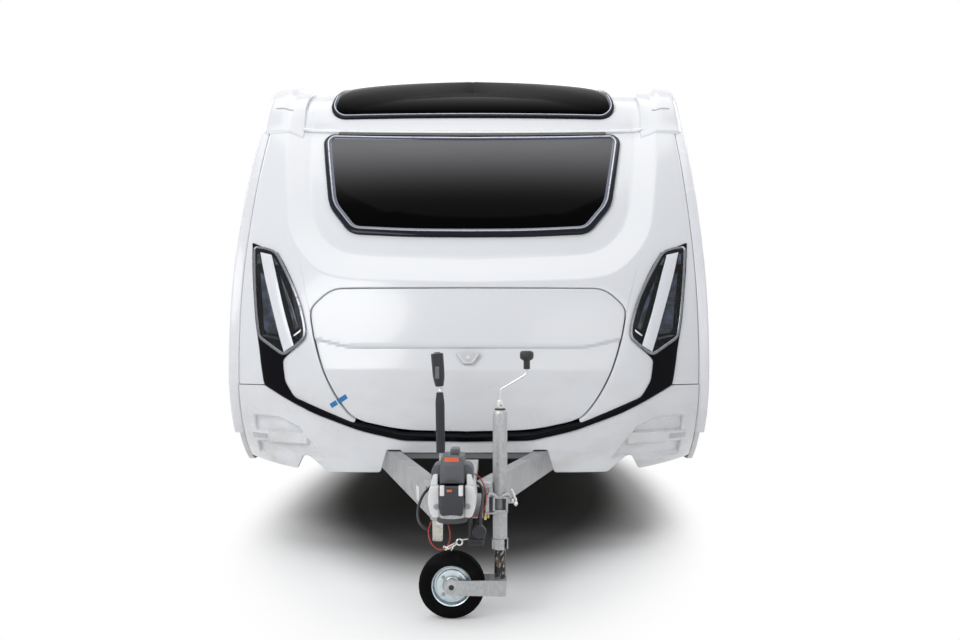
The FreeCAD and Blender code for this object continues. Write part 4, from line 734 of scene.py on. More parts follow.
def make_locker_door():
    """The lid: rows from its level middle line out to its rounded edge."""
    border = even(LOCKER_EDGE, 181)
    rim = nose.drawn(border)
    middle = border.copy()
    middle[:, 0] = 0
    rails = [nose.drawn(middle), shifted(rim, -0.004), shifted(rim, -0.0012, 0.0012), shifted(rim, 0, 0.004),
             shifted(rim, 0, 0.022)]
    grid = ladder(rails, [130, 1, 1, 2])
    z = nose.side(grid[..., 1])[1]
    grid[..., 2] += locker_depth(grid[..., 0], z)
    skin(nose, grid).make("locker_lid", WHITE, "white_moulding", "locker_door", 28, body="front_lid")


def make_locker_lock():
    """A shield-shaped latch plate with a dished face and a keyed barrel."""
    at = nose.place(nose.line(0.004, 0.853, -0.001))
    tip = nose.place(nose.line(0.004, 0.863, -0.001))
    put = facing(at, RIGHT, tip - at)
    outline = rounded([(-0.02, 0.026), (-0.050, 0.026), (-0.053, 0.018), (-0.022, -0.026), (0.022, -0.026),
                       (0.053, 0.018), (0.050, 0.026), (0.02, 0.026), (-0.02, 0.026)],
                      (0, 0.006, 0.006, 0.008, 0.008, 0.006, 0.006, 0, 0), 4, 5)[:-1]
    barrel = [(0, 0.005), (0.009, 0.005), (0.009, 0.0095), (0.008, 0.0105), (0.0, 0.0105)]
    foot, out = put(np.array([[0.0, 0.001, 0.0], [0.0, 0.001, 1.0]]))
    for name, finish, slot, grid in (
            ("rim", PALE_GREY, "white_moulding", plate(outline, 0.007, put, 0.004)),
            ("dish", RAIL, None, plate(outline * 0.82, 0.0075, put, 0.001, -0.003)),
            ("barrel", PLATE, None, turned(barrel, foot, out - foot, 24)),
            ("slit", BLACK_PLASTIC, None, plate(rectangle(0.0016, 0.007, 0.0005), 0.0112, put, 0.0002))):
        Form().add(grid).make("latch_" + name, finish, slot, body="front_lid")


# ---------------------------------------------------------------- front lamps
def lamp_lines():
    """The lamp's inner and outer borders, from its tip to the middle of the strip, in matching stretches."""
    inside, outside = rounded(LAMP_IN, 0.02, 10, 5), rounded(LAMP_OUT, 0.02, 10, 5)
    inner_stops = ((0.915, 1.357), (0.737, 0.943), (0.848, 0.847), (0.834, 0.751), (0.665, 0.629),
                   (0.511, 0.568), (0.288, 0.517), (0, 0.510))
    outer_stops = ((1.057, 1.408), (0.985, 0.955), (0.965, 0.86), (0.943, 0.735), (0.697, 0.610),
                   (0.535, 0.553), (0.288, 0.492), (0, 0.487))
    counts = (60, 22, 16, 30, 20, 20, 14)
    return [joined(*[part_of(line, a, b, n) for a, b, n in zip(stops, stops[1:], counts)])
            for line, stops in ((inside, inner_stops), (outside, outer_stops))]


def make_lamps():
    """The black lamp bodies and their strip, the bezels and covers, and the reflectors and bars inside."""
    inner, outer = (nose.drawn(line) for line in lamp_lines())
    roll = ((0, 0.02), (0, -0.005), (0.0025, -0.0085), (0.006, -0.0095))
    rails = [shifted(inner, by, depth) for by, depth in roll]
    rails += [shifted(outer, -by, depth) for by, depth in roll[::-1]]
    for rail in rails:
        rail[-1, 0] = 0
    t = np.linspace(0, 1, 6)
    cap = even([rails[0][0], rails[-1][0]], 6)
    front = np.stack([rail[0] for rail in rails])
    front = np.stack([np.interp(t, np.linspace(0, 1, len(front)), front[:, k]) for k in range(3)], 1)
    bodies = skin(nose, ladder(rails, [1, 1, 1, 8, 1, 1, 1]), [cap, front])
    bodies.make("lamp_bodies", BLACK, "black_gloss", "lamp_housings", 30)

    opening = rounded([(0.985, 1.372), (1.035, 1.381), (1.016, 1.243), (0.990, 1.068), (0.967, 0.955),
                       (0.842, 0.876), (0.794, 0.909), (0.748, 0.950), (0.751, 1.0), (0.786, 1.108),
                       (0.827, 1.19), (0.875, 1.271), (0.93, 1.354), (0.985, 1.372)],
                      (0, 0.012, 0.1, 0.1, 0.02, 0.02, 0.05, 0.02, 0.05, 0.08, 0.08, 0.08, 0.03, 0), 5, 5)
    rim = nose.drawn(opening)
    way = across(rim)
    way[-1] = way[0] = (way[0] + way[-1]) / 2
    bezel = [rim + np.column_stack([way * by, np.full(len(rim), depth)])
             for by, depth in ((-0.0005, -0.001), (0.0, -0.0125), (0.002, -0.0145), (0.0105, -0.0125),
                               (0.0125, -0.0105), (0.0125, -0.004))]
    skin(nose, bezel).make("lamp_bezels", BEZEL, "black_gloss")
    centre = np.repeat(rim.mean(0)[None], len(rim), 0) - (0, 0, 0.017)
    cover = rim - (0, 0, 0.0135)
    skin(nose, ladder([centre, cover], 6)).make("lamp_covers", CLEAR, "black_gloss")

    left, right = ([(1.005, 1.358), (0.964, 1.228), (0.909, 1.075), (0.875, 0.974), (0.841, 0.882)],
                   [(0.943, 1.342), (0.901, 1.226), (0.852, 1.073), (0.824, 0.997), (0.793, 0.912)])
    a, b = nose.drawn(even(rounded(left, 0.1), 40)), nose.drawn(even(rounded(right, 0.1), 40))
    rails = []
    for t, depth in ((0, 0.0), (0, -0.0108), (0.08, -0.0124), (0.92, -0.0124), (1, -0.0108), (1, 0.0)):
        row = a + (b - a) * t
        row[:, 2] = depth
        rails.append(row)
    skin(nose, ladder(rails, 2)).make("lamp_light_bars", LIGHT_BAR, "rail_alloy")
    # Thin raised shapes on the lamp's floor, closed on their middles.
    steps = ((0, 0), (0.5, 0), (0.9, 0), (0.97, 0.0004), (1, 0.002), (1, 0.012))
    for name, finish, floor, radius, corners in (
            ("mirrors_outer", MIRROR, -0.0105, 0.006,
             ((0.993, 1.261), (0.971, 1.249), (0.937, 1.144), (0.883, 0.990), (0.876, 0.960), (0.928, 0.967),
              (0.948, 0.985), (0.963, 1.096))),
            ("mirrors_inner", MIRROR, -0.0105, 0.004,
             ((0.891, 1.250), (0.842, 1.158), (0.800, 1.068), (0.773, 0.989), (0.789, 0.977), (0.816, 1.053),
              (0.855, 1.158))),
            ("mirrors_top", MIRROR, -0.0105, 0.002,
             ((1.019, 1.352), (1.008, 1.351), (0.993, 1.303), (1.014, 1.298))),
            ("mirrors_tip", MIRROR, -0.0105, 0.002,
             ((0.936, 1.331), (0.925, 1.326), (0.901, 1.291), (0.917, 1.292))),
            ("turn_lights", PLATE, -0.011, 0.002,
             ((0.797, 0.958), (0.760, 0.985), (0.764, 0.973), (0.793, 0.952))),
            ("low_lights", MIRROR, -0.011, 0.002,
             ((0.962, 0.958), (0.873, 0.936), (0.865, 0.948), (0.935, 0.962)))):
        line = nose.drawn(rounded([*corners, corners[0]], radius, 5, 4))
        rows = raised(line, [(scale, floor + depth) for scale, depth in steps])
        skin(nose, rows).make("lamp_" + name, finish, "black_gloss")


# ---------------------------------------------------------------- windows on the two ends
def end_window(name, end, outline, radius, seat, rise, crown, wide, glass, full=0.8):
    """A domed acrylic pane in a raised glossy frame.

    seat is the depth under it, or gives the depth under a place (x, z), and rise is how far the frame stands
    up from it. The pane goes from the frame's lip to its middle, higher there by crown: (1 - (1 - t)^2)^full
    of it at t of the way in.
    """
    line = rounded(outline, radius, 12, 8)
    border = end.drawn(line, seat(*line.T) if callable(seat) else seat)
    inset = shifted(border, -wide)
    low, high = sorted((inset[0, 1], inset[-1, 1]))
    middle = inset.copy()
    middle[:, 0] = 0
    middle[:, 1] = np.clip(inset[:, 1], low + 0.45 * (high - low), high - 0.45 * (high - low))
    grid = ladder([shifted(inset, 0.002), middle], 30)
    t = np.linspace(0, 1, len(grid))[:, None]
    grid[..., 2] -= rise * 0.72 + crown * (1 - (1 - t) ** 2) ** full
    skin(end, grid).make(name + "_pane", glass, "tinted_glazing", name, 30)
    for part, finish, steps in (
            ("frame", FRAME, ((0, 0), (0, 0.5), (0.0015, 0.86), (0.006, 0.98), (wide * 0.5, 1))),
            ("bead", BEAD, ((wide * 0.5, 0.9), (wide * 0.53, 1.15), (wide * 0.68, 1.15), (wide * 0.72, 0.9))),
            ("lip", LIP, ((wide * 0.71, 1), (wide - 0.004, 0.9), (wide, 0.66)))):
        rows = [shifted(border, -inset, -rise * lift) for inset, lift in steps]
        skin(end, rows).make(name + "_" + part, finish, "tinted_glazing", (), 40)


def make_windows():
    """The windows on both ends, the seal that hangs the front one, and the bar under the brow."""
    end_window("front_window", nose, WINDOW, (0, 0.5, 0.03, 0.03, 0.05, 0.05, 0.2, 0), SHELF, 0.018, 0.006,
               0.044, GLASS_FRONT)
    end_window("roof_window", nose, ROOF_WINDOW, (0, 0.05, 0.05, 0.04, 0.05, 0), sheet_depth, 0.026, 0.046,
               0.030, GLASS_ROOF, 0.5)
    end_window("rear_window", tail, REAR_WINDOW, (0, 0.05, 0.05, 0.05, 0.05, 0), 0.0, 0.022, 0.01, 0.02,
               GLASS_SIDE)
    x = np.linspace(0, 0.717, 40)
    lift = 0.030 * (x / 0.9) ** 2
    steps = ((2.0316, 0.06), (2.0316, 0.040), (2.0336, 0.037), (2.051, 0.037), (2.053, 0.040), (2.053, 0.07))
    rows = [nose.line(x, z + lift, depth) for z, depth in steps]
    rows = [np.concatenate([row, row[-1:] * np.array([1, 1, 0]) + (0, 0, 0.07)]) for row in rows]
    skin(nose, ladder(rows, 1)).make("window_hinge", SEAL, "black_plastic")
    turn = np.linspace(0, math.pi / 2, 7)[1:]
    x = np.concatenate([np.linspace(0, 0.905, 60), 0.905 + 0.015 * np.sin(turn)])
    swell = np.sqrt(np.clip(1 - ((x - 0.905) / 0.0155).clip(0) ** 2, 0.0, 1))
    rows = []
    for k, lift in ((-1, 0.012), (-1, -0.004), (-0.75, -0.011), (0, -0.013), (0.75, -0.011), (1, -0.004),
                    (1, 0.012)):
        z = 2.0655 + 0.027 * (x / 0.9) ** 2 + 0.0135 * k * swell
        rows.append(nose.line(x, z, sheet_depth(x, z) + lift))
    skin(nose, ladder(rows, 2)).make("brow_bar", RAIL, "white_moulding")


# ---------------------------------------------------------------- front bumper
NOTCH = ((0.0, 0.434), (0.288, 0.434), (0.296, 0.446), (0.358, 0.446), (0.388, 0.345), (0.632, 0.341),
         (0.704, 0.400), (0.722, 0.411), (0.738, 0.4136), (0.752, 0.408), (0.788, 0.347), (1.088, 0.370))


def bumper_depth(x, z):
    """How far the bumper's face lies in: a corner scoop with a slat across it, and a rolled upper flange."""
    right = 0.652 + (z - 0.413) * 0.866
    right = np.where(z > 0.541, 0.763 + (z - 0.541) * 2.2, right)
    crown = 0.592 - 0.35 * np.clip(0.93 - x, 0, None) ** 1.7
    inside = (smooth(0.0, 0.014, x - right) * smooth(0.0, 0.014, crown - z) * smooth(0.0, 0.012, z - 0.392)
              * smooth(0.0, 0.012, 1.012 - x))
    between = smooth(0.459, 0.465, z) * smooth(0.521, 0.515, z)
    slat = between * smooth(0.0, 0.02, x - 0.715)
    sill = smooth(0.421, 0.405, z)
    floor = 0.026 * inside * (1 - 0.9 * slat) * (1 - 0.55 * sill)
    bead = between * smooth(0.0, 0.02, x - 0.74) * smooth(1.06, 1.0, x)
    return floor - 0.003 * bead


def make_front_bumper():
    """The bumper between the lamps' strip and its notched foot, the return under it, and two marker lamps."""
    foot = rounded(NOTCH, (0, 0.003, 0.004, 0.006, 0.012, 0.01, 0.008, 0.01, 0.01, 0.01, 0.008, 0), 14, 5)
    head = joined(even(rounded(LAMP_OUT[:4:-1], 0.05, 10, 5), 200), even([LAMP_OUT[5], (PANEL, SILL)], 30))
    x = np.sort(np.concatenate([foot[:, 0], np.linspace(0, PANEL, 150)]))
    x = x[np.concatenate([[True], np.diff(x) > 5e-4])]
    low, high = np.interp(x, foot[:, 0], foot[:, 1]), np.interp(x, head[:, 0], head[:, 1]) - 0.003
    t = np.linspace(0, 1, 60)[:, None]
    z = low + 0.004 + (high - low - 0.008) * t
    face = nose.line(np.broadcast_to(x, z.shape), z, bumper_depth(x, z))
    roll = ((0, 0.022), (0, 0.004), (0.0012, 0.0012))
    under = [nose.line(x, low + by, depth) for by, depth in roll]
    over = [nose.line(x, high - by, depth) for by, depth in roll[::-1]]
    shell = skin(nose, np.concatenate([under, face, over]))
    shell.make("bumper_shell", WHITE, "white_moulding", "front_bumper", 30)
    x = np.linspace(0, 0.283, 24)
    steps = ((0.4335, 0.03), (0.4335, 0.012), (0.4085, 0.012), (0.4065, 0.015), (0.4065, 0.03))
    rows = [nose.line(x, z, depth) for z, depth in steps]
    skin(nose, rows).make("bumper_return", GAP, "black_plastic")
    for name, finish, grow, depth in (("marker_rims", RAIL, 0.0, -0.004),
                                      ("marker_lenses", MARKER, -0.0055, -0.0062)):
        border = rectangle(0.108 + 2 * grow, 0.036 + 2 * grow, 0.008 + grow / 2, 5) + (0.985, 0.489)
        rows = raised(nose.drawn(shut(border), depth), ((0, 0), (0.94, 0), (1, 0.002), (1, 0.012)))
        skin(nose, ladder(rows, [3, 1, 1])).make(name, finish, "white_moulding")


# ---------------------------------------------------------------- corner rails, roof, back
def side_outline(low, steps=(70, 60)):
    """The side wall's outline from a height at the nose, over the roof and down to that height at the tail.

    Returns y, z and the inward normal as columns: each end is its own chain of arcs, and the roof is flat.
    """
    found = []
    for end, count, way in ((nose, steps[0], 1), (tail, steps[1], -1)):
        run = np.linspace(float(end.run(low)), end.top, count)[::way]
        y, z = end.side(run)
        deep_y, deep_z = end.side(run, 1.0)
        found.append(np.stack([y, z, deep_y - y, deep_z - z], 1))
    return np.concatenate(found)


def make_corner_rails():
    """The extrusion on each corner of the body, its profile carried round the side outline."""
    outline = side_outline(SKIRT_TOP)

    def round_the_side(profile):
        """Rows of x and depth, carried along the outline and square to it."""
        x, depth = profile.T
        y, z = (outline[:, k:k + 1] + outline[:, k + 2:k + 3] * depth for k in (0, 1))
        return np.stack([np.broadcast_to(x, y.shape), y, z], -1)

    profile = np.array([(1.0905, 0.02), (1.0905, -0.009), (1.0925, -0.0112), (1.096, -0.012), (1.131, -0.012),
                        (1.1365, -0.0105), (1.1398, -0.006), (PROUD, -0.002), (PROUD, 0.012),
                        (1.1335, 0.0125), (1.1335, 0.0175), (PROUD, 0.018), (PROUD, 0.036), (1.1385, 0.0405),
                        (1.134, 0.042), (1.1205, 0.042), (1.1205, 0.02), (1.0905, 0.02)])
    grid = round_the_side(profile)
    ends = [np.repeat(grid[k].mean(0)[None, None], len(profile), 1) for k in (0, -1)]
    rails = Form().both(np.concatenate([ends[0], grid, ends[1]]))
    rails.make("corner_rails", RAIL, "rail_alloy", "awning_rails", 40)
    seam = np.array([(1.086, 0.012), (1.086, 0.0035), (1.0905, 0.0035), (1.0905, 0.012)])
    Form().both(round_the_side(seam), BODY_CORE).make("corner_seams", GAP, "black_plastic")


def roof_rail(end, x, y):
    """The line at one y on an end's topmost arc: start + radius (acos((cy - side y) / radius) - begin)."""
    high = np.full(x.shape, 2.5)
    lead = end.lead(high, 0 * high)
    bow = lead - (lead - EDGE) * (np.abs(x) / PANEL) ** end.power(high)
    side_y = y - end.out * bow
    tilt = np.arccos(np.clip((side_y - end.centre_y[-1]) * end.out / end.radii[-1], -1, 1))
    return np.stack([x, end.starts[-1] + end.radii[-1] * (tilt - end.begin[-1]), np.zeros(x.shape)], 1)


def make_shoulder_caps():
    """The caps over the roof's front corners, where the rails end.

    Across each one, from its inner edge to the wall: the cap's own face, a rounded shoulder of 35 mm, and the
    side down to the rail's width. Along it, the lift dies away over the last 160 mm.
    """
    low, high = float(nose.run(2.056)), float(roof_rail(nose, np.array([1.0]), -0.72)[0, 1])
    run = np.concatenate([[low], np.linspace(low, low + 0.01, 3)[1:], np.linspace(low + 0.01, high, 60)[1:],
                          [high]])
    z = nose.side(run)[1]
    inner = np.interp(z, [2.05, 2.10, 2.225, 2.36, 2.5], [0.908, 0.911, 0.925, 0.923, 0.925])
    fade = 1 - smooth(high - 0.16, high, run)
    t = np.linspace(0, 1, 26)[None]
    shoulder = 0.035
    bend_x = PROUD - shoulder
    x = inner[:, None] + (bend_x - inner[:, None]) * t
    face = cap_depth(x, z[:, None])
    face = np.where(face < -0.012, -0.012 + (face + 0.012) * fade[:, None], face)
    bend = np.linspace(0, math.pi / 2, 8)[1:]
    edge_x = bend_x + shoulder * np.sin(bend)
    edge = face[:, -1:] + shoulder * (1 - np.cos(bend))
    foot = sheet_depth(inner, z)[:, None] + 0.002
    rim = face[:, :1] + (0.008, 0.002)
    columns_x = np.concatenate([inner[:, None] + (0.003, -0.003, -0.0015), x,
                                np.broadcast_to(edge_x, edge.shape), np.full((len(run), 2), PROUD),
                                np.full((len(run), 1), 1.125)], 1)
    columns_d = np.concatenate([foot, np.minimum(rim, foot), face, edge, edge[:, -1:],
                                np.full((len(run), 2), 0.045)], 1)
    columns_d[0] = columns_d[-1] = 0.045
    sheet = sheet_depth(columns_x[0], 2.06) + 0.002
    columns_d[0] = np.maximum(sheet, 0.0)
    columns_d[1] += 0.003
    grid = np.stack([columns_x, np.broadcast_to(run[:, None], columns_x.shape), columns_d], -1)
    skin(nose, grid).make("shoulder_caps_shell", WHITE, "white_moulding", "shoulder_caps", 35)
    x = np.linspace(0.982, 1.082, 14)
    ends = np.sqrt(np.clip(1 - ((np.abs(x - 1.032) - 0.046) / 0.004).clip(0) ** 2, 0, 1))
    rows = []
    for k, lift in ((-1, 0.004), (-1, -0.0012), (-0.6, -0.0016), (0.6, -0.0016), (1, -0.0012), (1, 0.004)):
        line = nose.line(x, 2.200 + 0.0036 * k * ends, 0)
        line[:, 2] = cap_depth(x, 2.200) + lift
        rows.append(line)
    skin(nose, ladder(rows, 1)).make("cap_slots", GREY, "white_moulding", (), 35)


def make_roof():
    """The roof sheet from its front joint to the tail, and a strip over its joint."""
    x = np.concatenate([np.linspace(0, 1.0, 30)[:-1], np.linspace(1.0, PANEL, 10)])
    top = [np.stack([x, np.full(x.shape, end.top), np.zeros(x.shape)], 1) for end in (nose, tail)]
    joint = roof_rail(nose, x, ROOF_JOINT)
    front = nose.place(ladder([shifted(joint, 0, 0.02), joint, top[0]], [1, 30]))
    back = tail.place(ladder([top[1], roof_rail(tail, x, TAIL_Y - 0.33)], 40))
    Form().both(np.concatenate([front, back]), BODY_CORE).make("roof_shell", WALL, "white_panel", "roof")
    steps = ((-0.71, 0.006), (-0.71, -0.002), (-0.682, -0.002), (-0.682, 0.006))
    strip = [shifted(roof_rail(nose, x, y), 0, depth) for y, depth in steps]
    skin(nose, strip).make("roof_joint_strip", PALE_GREY, "white_panel")


def make_rear():
    """The moulded back panel with a sunk plate field, the bumper under it, and the lamps on its corners."""
    x = np.concatenate([np.linspace(0, 1.0, 60)[:-1], np.linspace(1.0, PANEL, 10)])
    low = tail.line(x, 0.612)
    high = roof_rail(tail, x, TAIL_Y - 0.322)
    grid = ladder([shifted(low, 0, 0.02), low, high], [1, 150])
    z = tail.side(grid[..., 1])[1]
    field = (smooth(0.40, 0.37, grid[..., 0]) * smooth(0.66, 0.68, z) * smooth(1.02, 1.0, z))
    crease = smooth(1.12, 1.14, z) * smooth(1.26, 1.24, z) * smooth(0.86, 0.80, grid[..., 0])
    grid[..., 2] += 0.010 * field + 0.005 * crease
    skin(tail, grid).make("rear_shell", WHITE, "white_moulding", "rear_panel", 30)
    turn = np.linspace(0, math.pi / 2, 6)[1:]
    wide = float(extent("rear_bumper")[1][0]) - PANEL
    x = np.concatenate([x, PANEL + wide * np.sin(turn), [PANEL + wide]])
    back = np.concatenate([np.zeros(len(x) - 6), 0.02 * (1 - np.cos(turn)), [0.10]])
    steps = ((0.608, 0.03), (0.608, -0.012), (0.604, -0.018), (0.598, -0.0198), (0.50, -0.0198),
             (0.49, -0.016), (0.47, -0.016), (0.46, -0.0198), (0.37, -0.0195), (0.354, -0.014),
             (0.347, -0.006), (0.347, 0.03))
    rows = [tail.line(x, z, back + depth) for z, depth in steps]
    skin(tail, ladder(rows, 3)).make("rear_bumper_shell", WHITE, "white_moulding", "rear_bumper", 30)
    for name, finish, foot, head in (("red", RED, 1.06, 1.30), ("amber", AMBER, 0.92, 1.055),
                                     ("clear", MARKER, 0.80, 0.915), ("fog", RED, 0.70, 0.795)):
        border = shut(rectangle(0.138, head - foot, 0.012, 5) + (0.970, (foot + head) / 2))
        rows = raised(tail.drawn(border), ((0, -0.0195), (0.9, -0.0185), (1, -0.012), (1, 0)))
        node = "rear_lamps" if name == "red" else ()
        skin(tail, ladder(rows, [4, 2, 1])).make("tail_lamps_" + name, finish, "lamp_lens", node)


# ---------------------------------------------------------------- plain solids
def extent(node):
    """The lowest and highest corner of a frame piece."""
    return np.array(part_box(node))


def closed(grid):
    """Slices of equally many points as one closed surface: each end is closed on its own middle."""
    grid = np.concatenate([grid, grid[:, :1]], 1)
    ends = [np.repeat(grid[k, :-1].mean(0)[None, None], grid.shape[1], 1) for k in (0, -1)]
    return np.concatenate([ends[0], grid, ends[1]])


def block(low, high, edge=0.002, bend=4):
    """A box with rounded edges: the eight parts of a sphere of their radius, moved out to the corners."""
    low, high = np.asarray(low, float), np.asarray(high, float)
    quarter = np.linspace(0, math.pi / 2, bend)
    turn = np.concatenate([quarter + k * math.pi / 2 for k in range(4)])
    tilt = np.concatenate([quarter - math.pi / 2, quarter])[:, None]
    ball = np.stack(np.broadcast_arrays(np.cos(tilt) * np.cos(turn), np.cos(tilt) * np.sin(turn),
                                        np.sin(tilt)), -1)
    signs = np.stack(np.broadcast_arrays(np.repeat([1, -1, -1, 1], bend), np.repeat([1, 1, -1, -1], bend),
                                         np.repeat([-1, 1], bend)[:, None]), -1)
    return closed((low + high) / 2 + signs * ((high - low) / 2 - edge) + ball * edge)


def tower(rows, bend=5):
    """Level slices, rectangles with round corners: height, least and most x, least and most y, and radius."""
    slices = []
    for z, x0, x1, y0, y1, radius in rows:
        ring = rectangle(x1 - x0, y1 - y0, radius, bend) + ((x0 + x1) / 2, (y0 + y1) / 2)
        slices.append(np.column_stack([ring, np.full(len(ring), z)]))
    return closed(np.stack(slices))


def rod(start, end, radius, edge=0.001, steps=24):
    """A cylinder or cone from start to end with its rims broken."""
    way = np.subtract(end, start)
    length = np.linalg.norm(way)
    a, b = np.broadcast_to(radius, 2)
    profile = [(0, 0), (a - edge, 0), (a, edge), (b, length - edge), (b - edge, length), (0, length)]
    return turned(profile, start, way, steps)


def bar(points, radius, corner=0.01, lean=(0, 1, 0), sides=14):
    """A round bar along points, bent round its corners."""
    return swept(rounded(points, corner, 3, 6), circle(radius, sides), lean)


def bolt(at, axis, size, height=0.6):
    """A hexagon head on its washer: size is the head's half width."""
    at, axis = np.asarray(at, float), np.asarray(axis, float)
    disc = [(0, 0), (size * 1.45, 0), (size * 1.45, size * 0.16), (size * 1.35, size * 0.22),
            (0, size * 0.22)]
    head = [(0, size * 0.2), (size, size * 0.2), (size, size * (height - 0.1)), (size * 0.86, size * height),
            (0, size * height)]
    return [turned(disc, at, axis, 24), turned(head, at, axis, 6)]


def gather(grids, at=(0, 0, 0)):
    """One form of several grids, each with a core of its own."""
    form = Form(at)
    for grid in grids:
        form.add(grid)
    return form


# ---------------------------------------------------------------- coupling
def make_coupling():
    """The ball coupling: dark covers between white side pads, a lifting grip, bell, flange and hanger."""
    at = np.array([0, extent("coupling_head")[0][1], 0])
    lower = tower([(0.396, -0.026, 0.026, 0.030, 0.262, 0.008), (0.402, -0.030, 0.030, 0.018, 0.266, 0.008),
                   (0.408, -0.0335, 0.0335, 0.006, 0.267, 0.008),
                   (0.424, -0.0350, 0.0350, 0.002, 0.268, 0.008),
                   (0.447, -0.0350, 0.0350, 0.002, 0.268, 0.008), (0.453, -0.031, 0.031, 0.002, 0.268, 0.006),
                   (0.486, -0.030, 0.030, 0.003, 0.268, 0.006), (0.4895, -0.027, 0.027, 0.006, 0.266, 0.006)])
    chest = tower([(0.447, -0.036, 0.036, 0.014, 0.266, 0.004), (0.4895, -0.036, 0.036, 0.014, 0.266, 0.004)])
    Form(at).add(lower).add(chest).make("coupling_block", CAST_DARK, "cast_coupling", "coupling_head", 25)
    cover = tower([(0.4915, -0.034, 0.034, 0.038, 0.224, 0.005),
                   (0.4945, -0.036, 0.036, 0.0355, 0.226, 0.006),
                   (0.505, -0.0362, 0.0362, 0.036, 0.226, 0.007),
                   (0.560, -0.035, 0.035, 0.0455, 0.190, 0.009),
                   (0.5685, -0.0325, 0.0325, 0.051, 0.180, 0.011),
                   (0.572, -0.026, 0.026, 0.061, 0.165, 0.012)])
    Form(at).add(cover).make("coupling_cover", CAST, "cast_coupling", (), 25)
    face = facing((0, 0.0348, 0.492), RIGHT, (0, 0.0105, 0.061))
    panel = rounded([(-0.020, 0.007), (0.020, 0.007), (0.024, 0.058), (-0.024, 0.058), (-0.020, 0.007)],
                    0.006, 4, 4)[:-1]
    Form(at).add(plate(panel, 0.0016, face, 0.001)).make("coupling_badge_field", CAST, "cast_coupling")
    patch = rectangle(0.042, 0.0125, 0.001) + (-0.0015, 0.0705)
    Form(at).add(plate(patch, 0.0012, face, 0.0003)).make("coupling_patch", ORANGE, "cast_coupling")
    tab = block((-0.0135, 0.0002, 0.4735), (0.002, 0.006, 0.4805), 0.002)
    Form(at).add(tab).make("coupling_tab", ORANGE, "red_cable")
    shoulder = rounded([(0, 0.500), (0.062, 0.500), (0.062, 0.531), (0.052, 0.546), (-0.052, 0.546),
                        (-0.062, 0.531), (-0.062, 0.500), (0, 0.500)],
                       (0, 0.003, 0.01, 0.008, 0.008, 0.01, 0.003, 0), 3, 4)[:-1]
    saddle = plate(shoulder, 0.080, facing((0, 0.140, 0)), 0.004)
    grip = block((-0.008, 0.080, 0.562), (0.020, 0.150, 0.590), 0.007)
    gather([saddle, grip], at).make("coupling_shoulders", CAST, "cast_coupling", (), 30)

    flank = facing((0, 0.190, 0))
    body = rounded([(0.056, 0.4865), (0.0655, 0.484), (0.071, 0.452), (0.0703, 0.424), (0.058, 0.392),
                    (0.0375, 0.392), (0.0375, 0.4865), (0.056, 0.4865)],
                   (0, 0.008, 0.02, 0.02, 0.009, 0.004, 0.003, 0), 3, 4)[:-1]
    strip = rounded([(0.05, 0.518), (0.0565, 0.517), (0.0645, 0.487), (0.0425, 0.485), (0.0425, 0.518),
                     (0.05, 0.518)], (0, 0.004, 0.003, 0.003, 0.003, 0), 3, 4)[:-1]
    form = Form(at)
    form.both(plate(body, 0.1545, flank, 0.006)).both(plate(strip, 0.144, flank, 0.003))
    form.both(block((0.0205, 0.0002, 0.462), (0.0335, 0.02, 0.4915), 0.0025))
    form.make("coupling_pads", PAD, "white_moulding", (), 30)
    dish = [(0, 0), (0.0085, 0), (0.0085, 0.0012), (0.0068, 0.002), (0.0058, 0.0035), (0.0030, 0.0035),
            (0.0026, 0.001), (0, 0.001)]
    Form(at).both(turned(dish, (0.0465, 0.0352, 0.426), (0, -1, 0), 24)).make(
        "coupling_pad_bolts", GREY, "cast_coupling")
    bell = [(0.0262, 0.458), (0.0262, 0.384), (0.031, 0.381), (0.039, 0.381), (0.042, 0.385), (0.042, 0.415),
            (0.038, 0.440), (0.03, 0.458), (0.0262, 0.458)]
    Form(at).add(turned(bell, (0, 0.055, 0), UP, 40)).make("coupling_bell", TUBE, "cast_coupling")
    ring = [(0.036, 0.3795), (0.0435, 0.3795), (0.0455, 0.383), (0.0455, 0.390), (0.043, 0.3935),
            (0.036, 0.3935), (0.036, 0.3795)]
    Form(at).add(turned(ring, (0, 0.055, 0), UP, 40)).make("coupling_seal", SEAL, "black_plastic")

    flange = tower([(0.3665, -0.055, -0.030, 0.125, 0.24, 0.004), (0.372, -0.070, -0.018, 0.115, 0.26, 0.008),
                    (0.392, -0.074, -0.012, 0.105, 0.268, 0.008), (0.398, -0.070, 0.05, 0.11, 0.268, 0.008)])
    Form(at).add(flange).make("coupling_flange", TUBE, "galvanised_steel", (), 30)
    hang = facing((-0.0485, 0.136, 0))
    strap = rounded([(0, 0.388), (-0.0165, 0.388), (-0.0155, 0.303), (0.0155, 0.303), (0.0165, 0.388),
                     (0, 0.388)], (0, 0.002, 0.005, 0.005, 0.002, 0), 4, 4)[:-1]
    Form(at).add(plate(strap, 0.004, hang, 0.001)).make("coupling_hanger", PASSIVATED, "zinc_tube")
    gather(bolt((-0.0455, 0.132, 0.3585), (0, -1, 0), 0.0055), at).make("coupling_hanger_bolt", PLATE,
                                                                            "zinc_tube")
    y = np.linspace(0, 1, 37)
    fold = 0.040 - 0.0035 * (1 - np.cos(y * 14 * math.pi)) / 2
    bellows = np.stack([fold, 0.06 * y], 1)
    Form(at).add(turned(bellows, (0, 0.27, 0.43), (0, 1, 0), 36), core=at + (0, 0.3, 0.43)).make(
        "coupling_bellows", SEAL, "black_plastic", (), 60)


